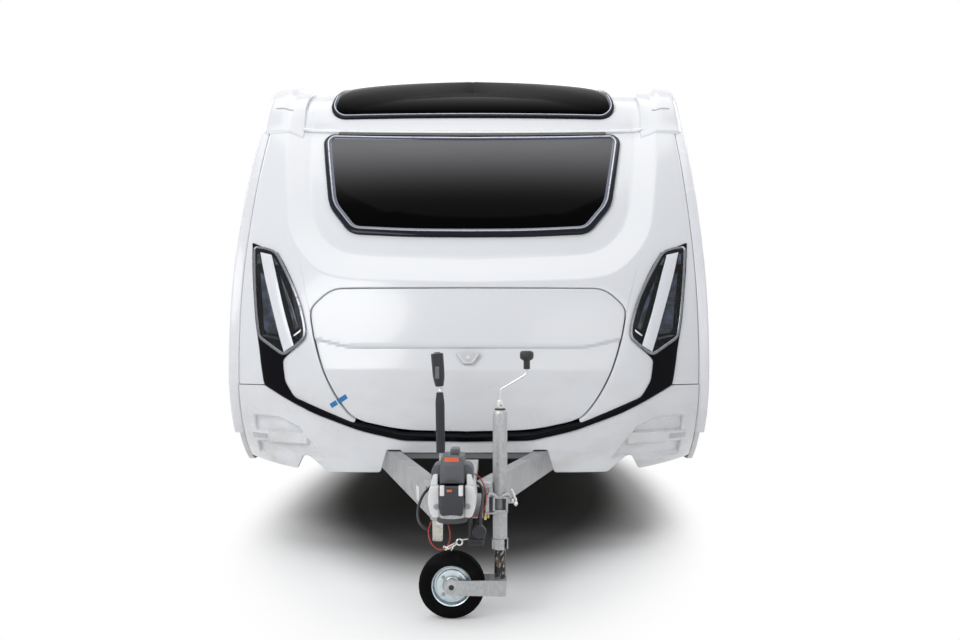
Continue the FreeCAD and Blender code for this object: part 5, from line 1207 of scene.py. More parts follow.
# ---------------------------------------------------------------- handbrake
def make_handbrake():
    """The lever: a grip with its button, a bright neck, a long ribbed sleeve, and the arm on its pivot."""
    low, high = extent("handbrake_lever")
    at, top = np.array([0, (low[1] + high[1]) / 2, 0]), high[2]
    lean = np.array([-0.0755, 0, top])
    foot = np.array([-0.0665, 0, top - 0.119])
    way = lean - foot
    profile = [(0, 0), (0.0105, 0), (0.0145, 0.0025), (0.0185, 0.022), (0.0205, 0.036), (0.0212, 0.06),
               (0.0215, 0.108), (0.0212, 0.1125), (0.0196, 0.1145), (0.018, 0.1135), (0.0165, 0.110),
               (0, 0.110)]
    Form(at).add(turned(profile, foot, way, 40)).make("handbrake_grip", GRIP, "black_plastic",
                                                    "handbrake_lever", 34)
    button = [(0, 0.108), (0.012, 0.108), (0.0122, 0.116), (0.011, 0.1185), (0, 0.119)]
    Form(at).add(turned(button, foot, way, 32)).make("handbrake_button", SEAL, "black_plastic")
    ring = [(0.0178, 0.1128), (0.0196, 0.1128), (0.0196, 0.1155), (0.0178, 0.1155), (0.0178, 0.1128)]
    Form(at).add(turned(ring, foot, way, 40)).make("handbrake_ring", GREY, "black_plastic")
    trigger = block((-0.0795, -0.0235, top - 0.092), (-0.066, -0.0185, top - 0.05), 0.0022)
    catch = rod((-0.0725, -0.0195, top - 0.058), (-0.0725, -0.025, top - 0.058), 0.0055, 0.0012)
    gather([trigger, catch], at).make("handbrake_catch", MARKS, "black_plastic")
    neck = turned([(0, 0), (0.0062, 0), (0.0066, 0.006), (0.005, 0.010), (0.0066, 0.014), (0.0066, 0.021),
                   (0, 0.021)], (-0.0652, 0, top - 0.1385), UP, 20)
    tongue = block((-0.060, -0.004, top - 0.128), (-0.0545, 0.004, top - 0.116), 0.002)
    gather([neck, tongue], at).make("handbrake_neck", PLATE, "zinc_tube")
    t = np.linspace(0, 1, 40)[:, None]
    turn = np.linspace(0, 2 * math.pi, 97)
    swell = 0.0108 + 0.0044 * smooth(0, 0.22, 1 - t) - 0.0008 * (1 - t)
    radius = swell + 0.0008 * np.cos(14 * turn)
    radius[0], radius[-1] = 0, 0
    x = -0.0622 - 0.0033 * t + radius * np.cos(turn)
    z = np.broadcast_to(0.532 + (top - 0.139 - 0.532) * np.clip((t - 0.025) / 0.95, 0, 1), radius.shape)
    Form(at).add(np.stack([x, radius * np.sin(turn), z], -1)).make("handbrake_sleeve", GRIP,
                                                                     "black_plastic", (), 60)
    arm = bar([(-0.0615, 0, 0.538), (-0.0612, 0, 0.495), (-0.070, 0, 0.462)], 0.0062, 0.02)
    pivot = block((-0.0835, -0.03, 0.4405), (-0.0505, 0.03, 0.476), 0.004)
    gather([arm, pivot], at).make("handbrake_arm", TUBE, "galvanised_steel")
    gather([rod((-0.0865, 0, 0.459), (-0.0475, 0, 0.459), 0.0085)], at).make("handbrake_pin", PLATE,
                                                                             "zinc_tube")


# ---------------------------------------------------------------- jockey wheel
def make_jockey():
    """The outer tube with its slot, the clamp that holds it, the crank, and the wheel in its fork."""
    low, high = extent("jockey_tube")
    x, y = (low[:2] + high[:2]) / 2
    at, radius, foot = np.array([0, y, 0]), (high[0] - low[0]) / 2, low[2]
    turn = np.linspace(0, 2 * math.pi, 49)
    wall = np.array([(radius, foot + 0.034), (radius, foot + 0.0345), (radius, 0.60), (radius, 0.672),
                     (radius - 0.0012, 0.680), (radius - 0.0045, 0.6855), (radius - 0.006, 0.6865)])
    open_turn = np.linspace(-0.40, 2 * math.pi - 1.0, 40)
    form = Form((x, y, 0))
    band = np.array([(radius, foot + z) for z in (0, 0.0005, 0.0335, 0.034)])
    for rows, angle in ((wall, turn), (band, open_turn)):
        ring = np.stack([np.cos(angle), np.sin(angle)], 1)
        grid = np.concatenate([rows[:, :1, None] * ring, np.repeat(rows[:, 1:, None], len(angle), 1)], 2)
        form.add(grid, core=(0, 0, 0.4))
    form.make("jockey_sleeve", TUBE, "zinc_tube", "jockey_tube", 30, 0.003)
    stopper = [(0, 0.6845), (radius - 0.0062, 0.6845), (radius - 0.0062, 0.6915), (radius - 0.0075, 0.6925),
               (0, 0.6925)]
    Form(at).add(turned(stopper, (x, 0, 0), UP, 36)).make("jockey_cap", SEAL, "black_plastic")

    nut = turned([(0, 0.692), (0.0105, 0.692), (0.0105, 0.7155), (0.0085, 0.7195), (0, 0.7195)], (x, 0, 0),
                 UP, 6)
    pin = turned([(0, 0.719), (0.0046, 0.719), (0.0046, 0.742), (0, 0.742)], (x, 0, 0), UP, 20)
    crank = bar([(x, 0, 0.738), (x + 0.0008, 0, 0.7535), (x + 0.0885, 0, 0.806), (x + 0.0885, 0, 0.826)],
                0.0038, 0.012)
    gather([nut, pin, crank], at).make("jockey_handle", PLATE, "zinc_tube", "jockey_crank")
    # A thin black disc on the nut stands for its hole: painted shade.
    hole = rod((x + 0.0035, -0.0112, 0.7025), (x + 0.0035, -0.008, 0.7025), 0.0022, 0.0003, 16)
    Form(at).add(hole).make("jockey_handle_hole_painted_shade", BLACK_PLASTIC, "black_plastic")
    knob = [(0, 0.822), (0.0100, 0.822), (0.0108, 0.824), (0.0108, 0.849), (0.0135, 0.852), (0.0195, 0.8545),
            (0.0218, 0.858), (0.0228, 0.864), (0.0228, 0.873), (0.0216, 0.8785), (0.0185, 0.8815),
            (0.012, 0.883), (0, 0.8832)]
    ball = turned(knob, (x + 0.0885, 0, 0), UP, 36)
    Form(at).add(ball).make("jockey_knob", BLACK_PLASTIC, "black_plastic", (), 50)
    front = -0.0325
    frame_bars = [block((x - 0.0245, front, 0.3975), (x + 0.026, 0.03, 0.404), 0.002),
                  block((x - 0.0245, front, 0.3515), (x + 0.026, 0.03, 0.3605), 0.002),
                  block((x - 0.0245, front, 0.3525), (x - 0.0165, 0.03, 0.4025), 0.002),
                  block((x + 0.0185, front, 0.3525), (x + 0.0255, 0.03, 0.4025), 0.002)]
    cheeks = [block((0.0935, -0.031, 0.352), (0.1065, 0.032, 0.4085), 0.003),
              block((0.0935, -0.029, 0.403), (0.121, 0.032, 0.4095), 0.003),
              block((0.0915, -0.031, 0.3465), (0.131, 0.032, 0.3525), 0.002),
              block((0.0885, -0.022, 0.430), (0.117, 0.022, 0.4515), 0.004),
              block((0.103, -0.020, 0.352), (0.112, 0.020, 0.445), 0.003)]
    jaws = [bar([(x - 0.040, -0.031, 0.403), (x - 0.034, -0.032, 0.4165),
                 (x - 0.022, -0.031, 0.4125), (x - 0.010, -0.029, 0.4025)], 0.0056, 0.008),
            bar([(x + 0.004, -0.029, 0.4025), (x + 0.016, -0.031, 0.411),
                 (x + 0.030, -0.031, 0.4125), (x + 0.036, -0.028, 0.402)], 0.0056, 0.008),
            block((x + 0.022, -0.027, 0.381), (x + 0.034, 0.02, 0.412), 0.004),
            swept([(x + 0.024, -0.01, 0.358), (x + 0.024, -0.01, 0.40)], rectangle(0.006, 0.03, 0.002),
                  (0, 1, 0), np.array([0.5, 1.0]))]
    gather(frame_bars + cheeks + jaws, at).make("jockey_clamp_jaws", TUBE, "zinc_tube", "jockey_clamp", 30)
    # The tube inside the clamp is drawn in a darker zinc: painted shade.
    inner = turned([(0, 0.3605), (0.0246, 0.3605), (0.0246, 0.3975), (0, 0.3975)], (x, 0, 0), UP, 48)
    Form(at).add(inner).make("jockey_clamp_core_painted_shade", TUBE_PAINTED_SHADE, "zinc_tube", (), 30)
    # Black blocks in the clamp's two hollows: painted shade where the openings are dark.
    dark = block((x - 0.0355, -0.0295, 0.3605), (x - 0.0245, 0.02, 0.4025), 0.001)
    hollow = block((x + 0.010, -0.0285, 0.3605), (x + 0.0185, 0.02, 0.3975), 0.001)
    gather([dark, hollow], at).make("jockey_clamp_painted_shade_blocks", BLACK_PLASTIC, "black_plastic")
    toggle = [bar([(x + 0.036, -0.028, 0.4285), (x + 0.045, -0.031, 0.414),
                   (x + 0.048, -0.032, 0.398)], 0.0042, 0.01),
              rod((x + 0.030, -0.016, 0.3865), (x + 0.052, -0.016, 0.3865), 0.0062, 0.0012),
              block((x + 0.044, -0.036, 0.376), (x + 0.0585, -0.008, 0.388), 0.0052),
              block((x + 0.0475, -0.033, 0.3725), (x + 0.0555, -0.016, 0.400), 0.0038),
              block((x + 0.036, -0.030, 0.383), (x + 0.047, -0.010, 0.396), 0.004)]
    gather(toggle, at).make("jockey_clamp_toggle", PLATE, "zinc_tube", (), 50)
    brass = [rod((0.094, -0.020, 0.3265), (0.094, -0.020, 0.3475), 0.0048, 0.001, 8),
             rod((0.1035, -0.018, 0.3315), (0.1035, -0.018, 0.3475), 0.0036, 0.001, 8)]
    gather(brass, at).make("jockey_clamp_studs", BRASS, "zinc_tube")

    hub = np.array([-0.017, 0, 0.110])
    side = np.array([(0.0665, -0.024), (0.0695, -0.0295), (0.078, -0.0325), (0.090, -0.033), (0.100, -0.0305),
                     (0.1065, -0.0245), (0.1083, -0.0190), (0.1093, -0.0160), (0.1081, -0.0152),
                     (0.1081, -0.0118), (0.1095, -0.0110), (0.1099, -0.0030), (0.1087, -0.0022)])
    profile = shut(np.concatenate([side, side[::-1] * (1, -1)]))
    tread = Form(at).add(turned(profile, hub, (0, 1, 0), 72))
    tread.make("jockey_tread", TYRE, "jockey_rubber", "jockey_tyre", 40, body="jockey_wheel")
    side = np.array([(0, -0.0335), (0.0125, -0.0335), (0.0135, -0.0325), (0.0135, -0.0285), (0.0215, -0.0275),
                     (0.0235, -0.0255), (0.0245, -0.0160), (0.0280, -0.0140), (0.0310, -0.0195),
                     (0.047, -0.0205), (0.0505, -0.0190), (0.0530, -0.0090), (0.0570, -0.0090),
                     (0.0598, -0.0205), (0.0625, -0.0275), (0.0655, -0.0290), (0.0675, -0.0268),
                     (0.0672, -0.0225), (0.0640, -0.0195), (0.060, -0.010)])
    profile = np.concatenate([side, side[::-1] * (1, -1)])
    disc = Form(at).add(turned(profile, hub, (0, 1, 0), 72))
    disc.make("jockey_disc", DISC, "zinc_tube", "jockey_rim", 30, body="jockey_wheel")
    studs = []
    for number in range(4):
        turn = math.radians(45 + 90 * number)
        spot = hub + (0.0395 * math.cos(turn), -0.0202, 0.0395 * math.sin(turn))
        studs += bolt(spot, (0, -1, 0), 0.0042, 0.7)
    gather(studs, at).make("jockey_disc_bolts", ZINC_DIP, "zinc_tube", body="jockey_wheel")
    washer = [(0.0088, 0), (0.0165, 0), (0.0165, 0.0012), (0.0155, 0.0018), (0.0092, 0.0018), (0.0088, 0.001),
              (0.0088, 0)]
    ring = turned(washer, hub - (0, 0.044, 0), (0, -1, 0), 32)
    Form(at).add(ring).make("jockey_axle_ring", TUBE, "zinc_tube", body="jockey_caster")
    # A thin black disc at the axle's end stands for its hole: painted shade.
    hole = rod(hub - (0, 0.0435, 0), hub - (0, 0.0443, 0), 0.0086, 0.0002, 24)
    Form(at).add(hole).make("jockey_axle_hole_painted_shade", BLACK_PLASTIC, "black_plastic", body="jockey_caster")


# ---------------------------------------------------------------- drawbar and small parts in front
def make_drawbar_parts():
    """A blank label on the left beam, a black disc as painted shade for a bolt hole on each, and a strip of
    tape across the locker's gap.
    """
    along = unit((-0.515, 1.94, 0))
    for side in (-1, 1):
        tip = np.array([side * 0.0851, -3.33, 0.3875])
        way = along * (-side, 1, 1)
        put = facing(tip + way * 0.258, way * side, UP)
        if side < 0:
            label = rectangle(0.056, 0.052, 0.003) + (0.0, -0.012)
            Form().add(plate(label, 0.0012, put, 0.0004)).make("drawbar_label", PAD, "white_moulding")
        near = facing(tip + way * 0.075, way * side, UP)
        # Each bolt hole is a thin black disc: painted shade.
        hole = near(np.array([[0.0, 0.03, 0.0003]]))[0]
        out = near(np.array([[0.0, 0.03, 0.01]]))[0] - hole
        Form().add(turned([(0, 0), (0.0105, 0), (0.0105, 0.0006), (0, 0.0006)], hole, out, 24)).make(
            "drawbar_hole_painted_shade" + ("_left" if side < 0 else "_right"), BLACK_PLASTIC, "black_plastic")
    t = np.linspace(0, 1, 9)[:, None]
    ends = np.array([(-0.612, 0.640), (-0.540, 0.684)])
    square = np.array([ends[0, 1] - ends[1, 1], ends[1, 0] - ends[0, 0]])
    square = unit(square) * 0.011
    rows = []
    for across_it, lift in ((-1, 0.0), (-1, 0.0012), (1, 0.0012), (1, 0.0)):
        spots = ends[0] + (ends[1] - ends[0]) * t + square * across_it
        deep = locker_depth(spots[:, 0], spots[:, 1]) * smooth(0.38, 0.62, t[:, 0])
        rows.append(nose.line(spots[:, 0], spots[:, 1], deep + 0.0004 - lift))
    tape = Form().add(nose.place(np.stack(rows)), BODY_CORE)
    tape.make("tape_strip", TAPE, "white_moulding", body="front_lid")


# ---------------------------------------------------------------- cords
LOOP = ((-0.046, -3.430, 0.464), (-0.064, -3.433, 0.461), (-0.084, -3.442, 0.450), (-0.101, -3.458, 0.430),
        (-0.111, -3.478, 0.404), (-0.113, -3.499, 0.378), (-0.106, -3.515, 0.357), (-0.091, -3.523, 0.342),
        (-0.072, -3.520, 0.335), (-0.054, -3.506, 0.336), (-0.038, -3.480, 0.343), (-0.026, -3.443, 0.351),
        (-0.020, -3.399, 0.356), (-0.020, -3.356, 0.356))
LEAD = ((0.046, -3.430, 0.470), (0.062, -3.431, 0.4695), (0.077, -3.439, 0.4635), (0.086, -3.454, 0.452),
        (0.089, -3.477, 0.434), (0.087, -3.501, 0.415), (0.0835, -3.522, 0.396), (0.080, -3.536, 0.378),
        (0.0785, -3.542, 0.362))
SAFETY = ((0.045, -3.440, 0.500), (0.058, -3.443, 0.499), (0.074, -3.451, 0.490), (0.088, -3.465, 0.473),
          (0.097, -3.481, 0.449), (0.099, -3.490, 0.423), (0.095, -3.489, 0.398), (0.086, -3.480, 0.379),
          (0.073, -3.462, 0.366), (0.057, -3.438, 0.359), (0.042, -3.412, 0.3565), (0.030, -3.385, 0.356),
          (0.022, -3.364, 0.356), (0.022, -3.350, 0.356))
BREAKAWAY = ((-0.063, -3.485, 0.386), (-0.064, -3.487, 0.375), (-0.067, -3.496, 0.363),
             (-0.071, -3.512, 0.353), (-0.075, -3.529, 0.343), (-0.076, -3.543, 0.328),
             (-0.071, -3.553, 0.312), (-0.062, -3.559, 0.298), (-0.049, -3.561, 0.288),
             (-0.036, -3.558, 0.284), (-0.024, -3.551, 0.287), (-0.015, -3.540, 0.296),
             (-0.011, -3.529, 0.309), (-0.011, -3.519, 0.324), (-0.015, -3.511, 0.341),
             (-0.021, -3.505, 0.357), (-0.026, -3.501, 0.371), (-0.030, -3.499, 0.383))


def make_cord(node, route, diameter, finish):
    """A round cord whose middle line is the quadratic NURBS of the route's points."""
    curve = bpy.data.curves.new(node + "_line", "CURVE")
    curve.dimensions = "3D"
    spline = curve.splines.new("NURBS")
    spline.points.add(len(route) - 1)
    spline.points.foreach_set("co", np.column_stack([route, np.ones(len(route))]).ravel())
    spline.order_u = 3
    spline.use_endpoint_u = True
    spline.resolution_u = 10
    curve.bevel_depth = diameter / 2
    curve.bevel_resolution = 5
    curve.use_fill_caps = True
    curve.materials.append(finish.material)
    cord = bpy.data.objects.new(node + "_cord", curve)
    SCENE.collection.objects.link(cord)
    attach(cord, "root")
    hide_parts(node)
    return cord


def make_plug():
    """The lead's plug: a tapered boot, a round cap that faces forward, and the ribbed holder below it."""
    x, y = LEAD[-1][:2]
    foot = extent("road_plug")[0][2]
    boot = [(0, foot + 0.002), (0.0135, foot + 0.002), (0.0142, foot + 0.008), (0.0142, foot + 0.030),
            (0.0125, foot + 0.036), (0.0105, foot + 0.040), (0.0085, foot + 0.043), (0, foot + 0.043)]
    grids = [turned(boot, (x, y, 0), UP, 32)]
    first = np.array(LEAD[-1])
    collar = [(0.0, -0.014), (0.0105, -0.014)]
    for number in range(8):
        start, wide = -0.012 + 0.0058 * number, 0.0102 - 0.0006 * number
        collar += [(wide, start), (wide - 0.0002, start + 0.0042), (wide - 0.0014, start + 0.0044),
                   (wide - 0.0014, start + 0.0056)]
    collar += [(0.0048, 0.0352), (0.0046, 0.0354)]
    path = turned(collar, (0, 0, 0), UP, 24)
    lean = np.clip((path[..., 2:] + 0.002) / 0.0374, 0, 1) ** 2
    grids.append(first + (path - (0, 0, 0.006)) + lean * (0.0035, 0.0115, 0.0))
    face = [(0, 0.0), (0.0165, 0.0), (0.0202, 0.002), (0.021, 0.005), (0.021, 0.0205), (0.0198, 0.0232),
            (0.0165, 0.0236), (0.0145, 0.0226), (0, 0.0224)]
    grids.append(turned(face, (x, y - 0.006, foot + 0.022), (0, -1, 0), 40))
    plug = gather(grids).make("road_plug_boot", GRIP, "black_plastic", "road_plug", 34)
    base = block((0.0455, y - 0.0205, foot - 0.006), (0.0935, y + 0.0195, foot), 0.002)
    rest = block((0.0475, y - 0.0185, foot - 0.018), (0.0915, y + 0.0175, foot - 0.004), 0.003)
    sole = block((0.0455, y - 0.0205, foot - 0.0198), (0.0925, y + 0.0195, foot - 0.0145), 0.002)
    ribs = [block((0.050 + 0.0085 * k, y - 0.0205, foot - 0.017),
                  (0.0535 + 0.0085 * k, y - 0.015, foot - 0.003), 0.001) for k in range(5)]
    post = block((0.0458, y - 0.013, foot - 0.018), (0.0565, y + 0.0075, 0.3855), 0.002)
    gather([base, rest, sole, post] + ribs).make("plug_rest", BLACK_PLASTIC, "black_plastic", "plug_holder")
    return plug


def ring_line(centre, first, second, radius, start=0.0, stop=2 * math.pi, count=40):
    """A circle or part of one: centre + radius (cos t first + sin t second)."""
    t = np.linspace(start, stop, count)[:, None]
    return np.asarray(centre) + radius * (np.cos(t) * np.asarray(first) + np.sin(t) * np.asarray(second))


def make_clip():
    """The breakaway cable's wire clip: an eye round the cable, a long snap link and a ring at the holder."""
    eye, along = np.array([-0.0245, -3.550, 0.2875]), unit((21, 18, 12))
    first = unit(np.cross(along, UP))
    second = np.cross(along, first)
    ring = np.array([0.018, -3.538, 0.303])
    bars = [swept(ring_line(eye, first, second, 0.006), circle(0.0021, 10), along, None, False),
            swept(ring_line(ring, RIGHT, UP, 0.009), circle(0.0026, 12), (0, 1, 0), None, False)]
    start = eye + 0.006 * unit(ring - eye - along * np.dot(ring - eye, along))
    end = ring + 0.009 * unit((start - ring) * (1, 0, 1))
    lift = np.array([0, 0, 0.0035])
    link = np.stack([start, start + (end - start) * 0.15 + lift, start + (end - start) * 0.85 + lift, end,
                     start + (end - start) * 0.85 - lift, start + (end - start) * 0.15 - lift, start])
    bars.append(swept(rounded(link, 0.004, 3, 4), circle(0.0026, 10), (0, 1, 0.2)))
    bars.append(bar([ring + (0.0062, 0, 0.0065), (0.0462, -3.538, 0.3132)], 0.0023, 0.01))
    bars.append(bar([(0.0015, -3.5455, 0.2965), (-0.001, -3.5475, 0.288), (-0.0065, -3.550, 0.2805)], 0.0015,
                    0.004))
    return gather(bars).make("breakaway_link", PLATE, "zinc_tube", "breakaway_clip", 60)


def make_cords():
    """The plug, the clip and the four cords."""
    plug, clip = make_plug(), make_clip()
    loop = make_cord("cable_loop", LOOP, 0.009, CABLE)
    lead = make_cord("cable_main", LEAD, 0.009, CABLE)
    safety = make_cord("cable_safety", SAFETY, 0.004, CABLE_RED)
    breakaway = make_cord("cable_breakaway", BREAKAWAY, 0.004, CABLE_RED)
    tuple(LOOP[0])
    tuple(LEAD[0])
    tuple(SAFETY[0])
    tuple(BREAKAWAY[0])


# ---------------------------------------------------------------- road wheels
def around_axle(x, radius, turn):
    """Points at radius (cos t, sin t) round the x axis."""
    return np.stack(np.broadcast_arrays(x, radius * np.cos(turn), radius * np.sin(turn)), -1)


def make_wheels():
    """Tyres with a grooved tread, and cast wheels with five windows, on both sides.

    t goes from -1 to 1 across the tyre. Up to 0.66 it is the tread, whose radius is the tyre's own, less 7 mm
    in four round grooves and 4 mm in the cross cuts of its shoulders. Beyond, the side wall goes down to the
    rim.
    """
    for side, name in ((-1, "left"), (1, "right")):
        low, high = extent("tyre_" + name)
        middle, radius, half = (low + high) / 2, (high[2] - low[2]) / 2, (high[0] - low[0]) / 2
        rim = radius - 0.147
        t = np.linspace(-1, 1, 81)
        edge = np.clip((np.abs(t) - 0.66) / 0.34, 0, 1)
        wall = 0.84 + 0.16 * np.sin(np.clip(edge * 1.25, 0, 1) * math.pi / 2) - 0.14 * smooth(0.75, 1.0, edge)
        across_it = half * np.where(edge > 0, np.sign(t) * wall, t / 0.66 * 0.84)
        crown = radius - 0.004 * np.clip(np.abs(t) / 0.66, 0, 1) ** 2 - (radius - 0.004 - rim) * edge ** 1.15
        turn = np.linspace(0, 2 * math.pi, 289)
        groove = sum(smooth(0.0052, 0.0036, np.abs(across_it - at)) for at in (-0.046, -0.016, 0.016, 0.046))
        cut = smooth(0.35, 0.55, np.cos(72 * turn + 5 * across_it[:, None] / half))
        outer = smooth(0.050, 0.054, np.abs(across_it)) * smooth(0.30, 0.22, edge)
        grid_r = crown[:, None] - 0.007 * groove[:, None] - 0.004 * cut * outer[:, None]
        grid = around_axle(across_it[:, None], grid_r, turn)
        near, far = (around_axle(x, rim - 0.004, turn)[None] for x in (-half * 0.84, half * 0.84))
        tread = Form(middle).add(np.concatenate([near, grid, far, near]))
        tread.make("tyre_" + name + "_tread", TYRE, "tyre_rubber", "tyre_" + name, 35, body="wheel_" + name)
        make_alloy(side, name, middle, rim, half)


def make_alloy(side, name, middle, rim, half):
    """A cast wheel with five windows: where cos(5 angle) / 2 is low, the face drops 45 mm."""
    turn = np.linspace(0, 2 * math.pi, 241)
    r = np.concatenate([[0, 0.0175, 0.018, 0.036, 0.037, 0.052, 0.058], np.linspace(0.062, rim - 0.026, 26),
                        [rim - 0.022, rim - 0.016]])
    t = (r / rim)[:, None]
    dish = 0.044 + 0.030 * smooth(0.25, 0.95, t)
    spoke = smooth(0.30 - 0.55 * t, 0.56 - 0.55 * t, np.cos(5 * turn)[None] * 0.5)
    hole = (1 - spoke) * smooth(0.37, 0.43, t) * smooth(0.86, 0.82, t)
    lift = np.array([0.006, 0.006, 0.0, 0.0, -0.003, -0.003] + [0] * (len(r) - 6))[:, None]
    face = dish + lift - 0.045 * hole
    grid = around_axle(side * face, r[:, None], turn)
    barrel = [(rim - 0.016, 0.074), (rim - 0.012, half * 0.83), (rim - 0.004, half * 0.885),
              (rim + 0.004, half * 0.90), (rim + 0.009, half * 0.87), (rim + 0.009, half * 0.80),
              (rim - 0.006, half * 0.7), (rim - 0.014, 0.03), (rim - 0.014, -half * 0.6),
              (rim - 0.004, -half * 0.8), (rim + 0.006, -half * 0.86)]
    ring = turned(barrel, (0, 0, 0), (side, 0, 0), 96)
    form = Form(middle).add(grid, (-side * 0.5, 0, 0)).add(ring, middle)
    form.make("alloy_" + name, ALLOY, "rim_alloy", "rim_" + name, 34, body="wheel_" + name)
    back = turned([(0, 0.0), (rim - 0.016, 0.0)], middle, (side, 0, 0), 64)
    disc = Form().add(back, core=middle - (side, 0, 0))
    disc.make("alloy_back_" + name, BLACK_PLASTIC, "rim_alloy", body="wheel_" + name)
    studs = []
    for number in range(5):
        angle = math.radians(36 + 72 * number)
        spot = middle + (side * 0.045, 0.049 * math.cos(angle), 0.049 * math.sin(angle))
        studs += bolt(spot, (side, 0, 0), 0.0085, 1.3)
    gather(studs).make("wheel_bolts_" + name, PLATE, "zinc_tube", body="wheel_" + name)


# ---------------------------------------------------------------- sides and roof
SIDE_WINDOWS = ((1, -1.38, 0.82, 1.33, 0.56), (1, 0.42, 0.90, 1.42, 0.50), (1, 1.90, 1.05, 1.33, 0.60),
                (-1, -1.38, 0.90, 1.33, 0.56), (-1, 0.35, 0.95, 1.42, 0.50), (-1, 1.90, 1.05, 1.33, 0.60))


def wall_rows(side, y, z, width, height, radius, steps):
    """Rounded rectangles on a side wall, one for each (inset, distance from the middle plane)."""
    rows = []
    for inset, x in steps:
        ring = shut(rectangle(width - 2 * inset, height - 2 * inset, max(radius - inset, 0.002), 7))
        rows.append(np.stack([np.full(len(ring), side * x), y + ring[:, 0], z + ring[:, 1]], 1))
    return rows


def wall_block(side, reach, low, high, edge):
    """A rounded box on a side wall, out to reach: low and high are its least and most y and z."""
    near, far = sorted((side * (HALF - 0.002), side * reach))
    return block((near, *low), (far, *high), edge)


def domed(rim, side, steps, rise, power=1.0):
    """A pane inside a rim: t of the way to its middle it stands out by rise (1 - (1 - t)^2)^power."""
    t = np.linspace(0, 1, steps)[:, None, None]
    grid = rim + ((rim.min(0) + rim.max(0)) / 2 - rim) * t
    grid[..., 0] += side * rise * (1 - (1 - t[..., 0]) ** 2) ** power
    return grid


def make_side_windows():
    """Six hung panes, each slightly domed in its frame, with a hinge strip along the top."""
    panes, frames, strips = Form(), Form(), Form()
    for side, start, width, foot, height in SIDE_WINDOWS:
        y, z = start + width / 2, foot + height / 2
        core = np.array([0.0, y, z])
        rows = wall_rows(side, y, z, width, height, 0.06, ((0, 1.118), (0, 1.131), (0.0015, 1.1345),
                                                           (0.004, 1.136), (0.02, 1.135), (0.0225, 1.132),
                                                           (0.023, 1.128)))
        frames.add(rows, core)
        rim = wall_rows(side, y, z, width, height, 0.06, ((0.0225, 1.130),))[0]
        panes.add(domed(rim, side, 14, 0.008, 0.9), core)
        reach, head = width / 2 - 0.03, foot + height
        strips.add(wall_block(side, 1.139, (y - reach, head - 0.008), (y + reach, head + 0.014), 0.004))
    panes.make("side_panes", GLASS_SIDE, "tinted_glazing", "side_windows", 40)
    frames.make("side_frames", FRAME, "tinted_glazing", (), 40)
    strips.make("side_window_hinges", RAIL, "rail_alloy", (), 40)


def make_door():
    """Entrance door parts: window frame, handle in its dish, hinges, and the rubber round the leaf."""
    low, high = extent("door_glass")
    y, z = (low[1] + high[1]) / 2, (low[2] + high[2]) / 2
    width, height = high[1] - low[1], high[2] - low[2]
    core = np.array([0, y, z])
    rows = wall_rows(1, y, z, width + 0.05, height + 0.05, 0.05,
                     ((0, 1.127), (0.001, 1.1335), (0.004, 1.1355), (0.022, 1.1345), (0.026, 1.131)))
    Form().add(rows, core=core).make("door_window_frame", FRAME, "tinted_glazing", (), 40, body="door")
    rim = wall_rows(1, y, z, width + 0.002, height + 0.002, 0.03, ((0, 1.1315),))[0]
    pane = Form().add(domed(rim, 1, 12, 0.005), core)
    pane.make("door_pane", GLASS_SIDE, "tinted_glazing", "door_glass", 40, body="door")
    leaf_low, leaf_high = extent("entrance_door")
    latch = leaf_high[1] - 0.075
    dish = plate(rectangle(0.10, 0.19, 0.018), 0.004, facing((1.1275, latch, 1.26), (0, 1, 0), UP), 0.002)
    Form().add(dish).make("door_handle_dish", BLACK_PLASTIC, "black_plastic", body="door")
    grip = block((1.1305, latch - 0.042, 1.245), (1.1385, latch + 0.03, 1.285), 0.0035)
    keeper = rod((1.129, latch + 0.012, 1.205), (1.1375, latch + 0.012, 1.205), 0.011, 0.001)
    gather([grip, keeper]).make("door_handle", GRIP, "black_plastic", body="door")
    rows = wall_rows(1, (leaf_low[1] + leaf_high[1]) / 2, (leaf_low[2] + leaf_high[2]) / 2,
                     leaf_high[1] - leaf_low[1] - 0.006, leaf_high[2] - leaf_low[2] - 0.006, 0.05,
                     ((0.0, 1.127), (0.0, 1.1295), (0.004, 1.1302), (0.008, 1.1295), (0.008, 1.127)))
    Form().add(rows, core=(0, 0, 1.4)).make("door_edge_trim", RAIL, "rail_alloy", (), 50, body="door")


def make_hatches():
    """Locks and trims of the side hatch and service flap, the skirts' marker lamps and the awning lamp."""
    for node, body, side in (("side_hatch", "hatch", 1), ("service_flap", "flap", -1)):
        low, high = extent(node)
        y, z = (low[1] + high[1]) / 2, (low[2] + high[2]) / 2
        face = side * HALF
        rows = wall_rows(side, y, z, high[1] - low[1] - 0.004, high[2] - low[2] - 0.004, 0.03,
                         ((0, HALF - 0.004), (0, HALF + 0.0035), (0.003, HALF + 0.005),
                          (0.016, HALF + 0.005), (0.018, HALF + 0.0035), (0.018, HALF - 0.002)))
        Form().add(rows, core=(0, y, z)).make(node + "_trim", RAIL, "rail_alloy", (), 40, body=body)
        locks = []
        for spot in (-0.32, 0.32) if high[1] - low[1] > 0.5 else (0.0,):
            at = np.array([face, y + spot * (high[1] - low[1]), low[2] + 0.045])
            locks.append(turned([(0, 0), (0.017, 0), (0.0165, 0.004), (0.012, 0.006), (0.011, 0.004),
                                 (0, 0.004)], at, (side, 0, 0), 28))
        gather(locks).make(node + "_locks", BLACK_PLASTIC, "black_plastic", body=body)
    lamps = []
    for side in (-1, 1):
        for y in (-1.05, 2.05, 3.1):
            lamps.append(wall_block(side, 1.1345, (y - 0.05, 0.44), (y + 0.05, 0.475), 0.006))
    gather(lamps).make("side_markers", AMBER, "lamp_lens")
    shade = wall_block(1, 1.139, (0.20, 2.17), (0.46, 2.235), 0.008)
    Form().add(shade).make("awning_lamp", MARKER, "white_moulding")


ROOFLIGHTS = ((0.56, 0.70, 0.50), (-0.38, 0.40, 0.40), (2.50, 0.40, 0.40))


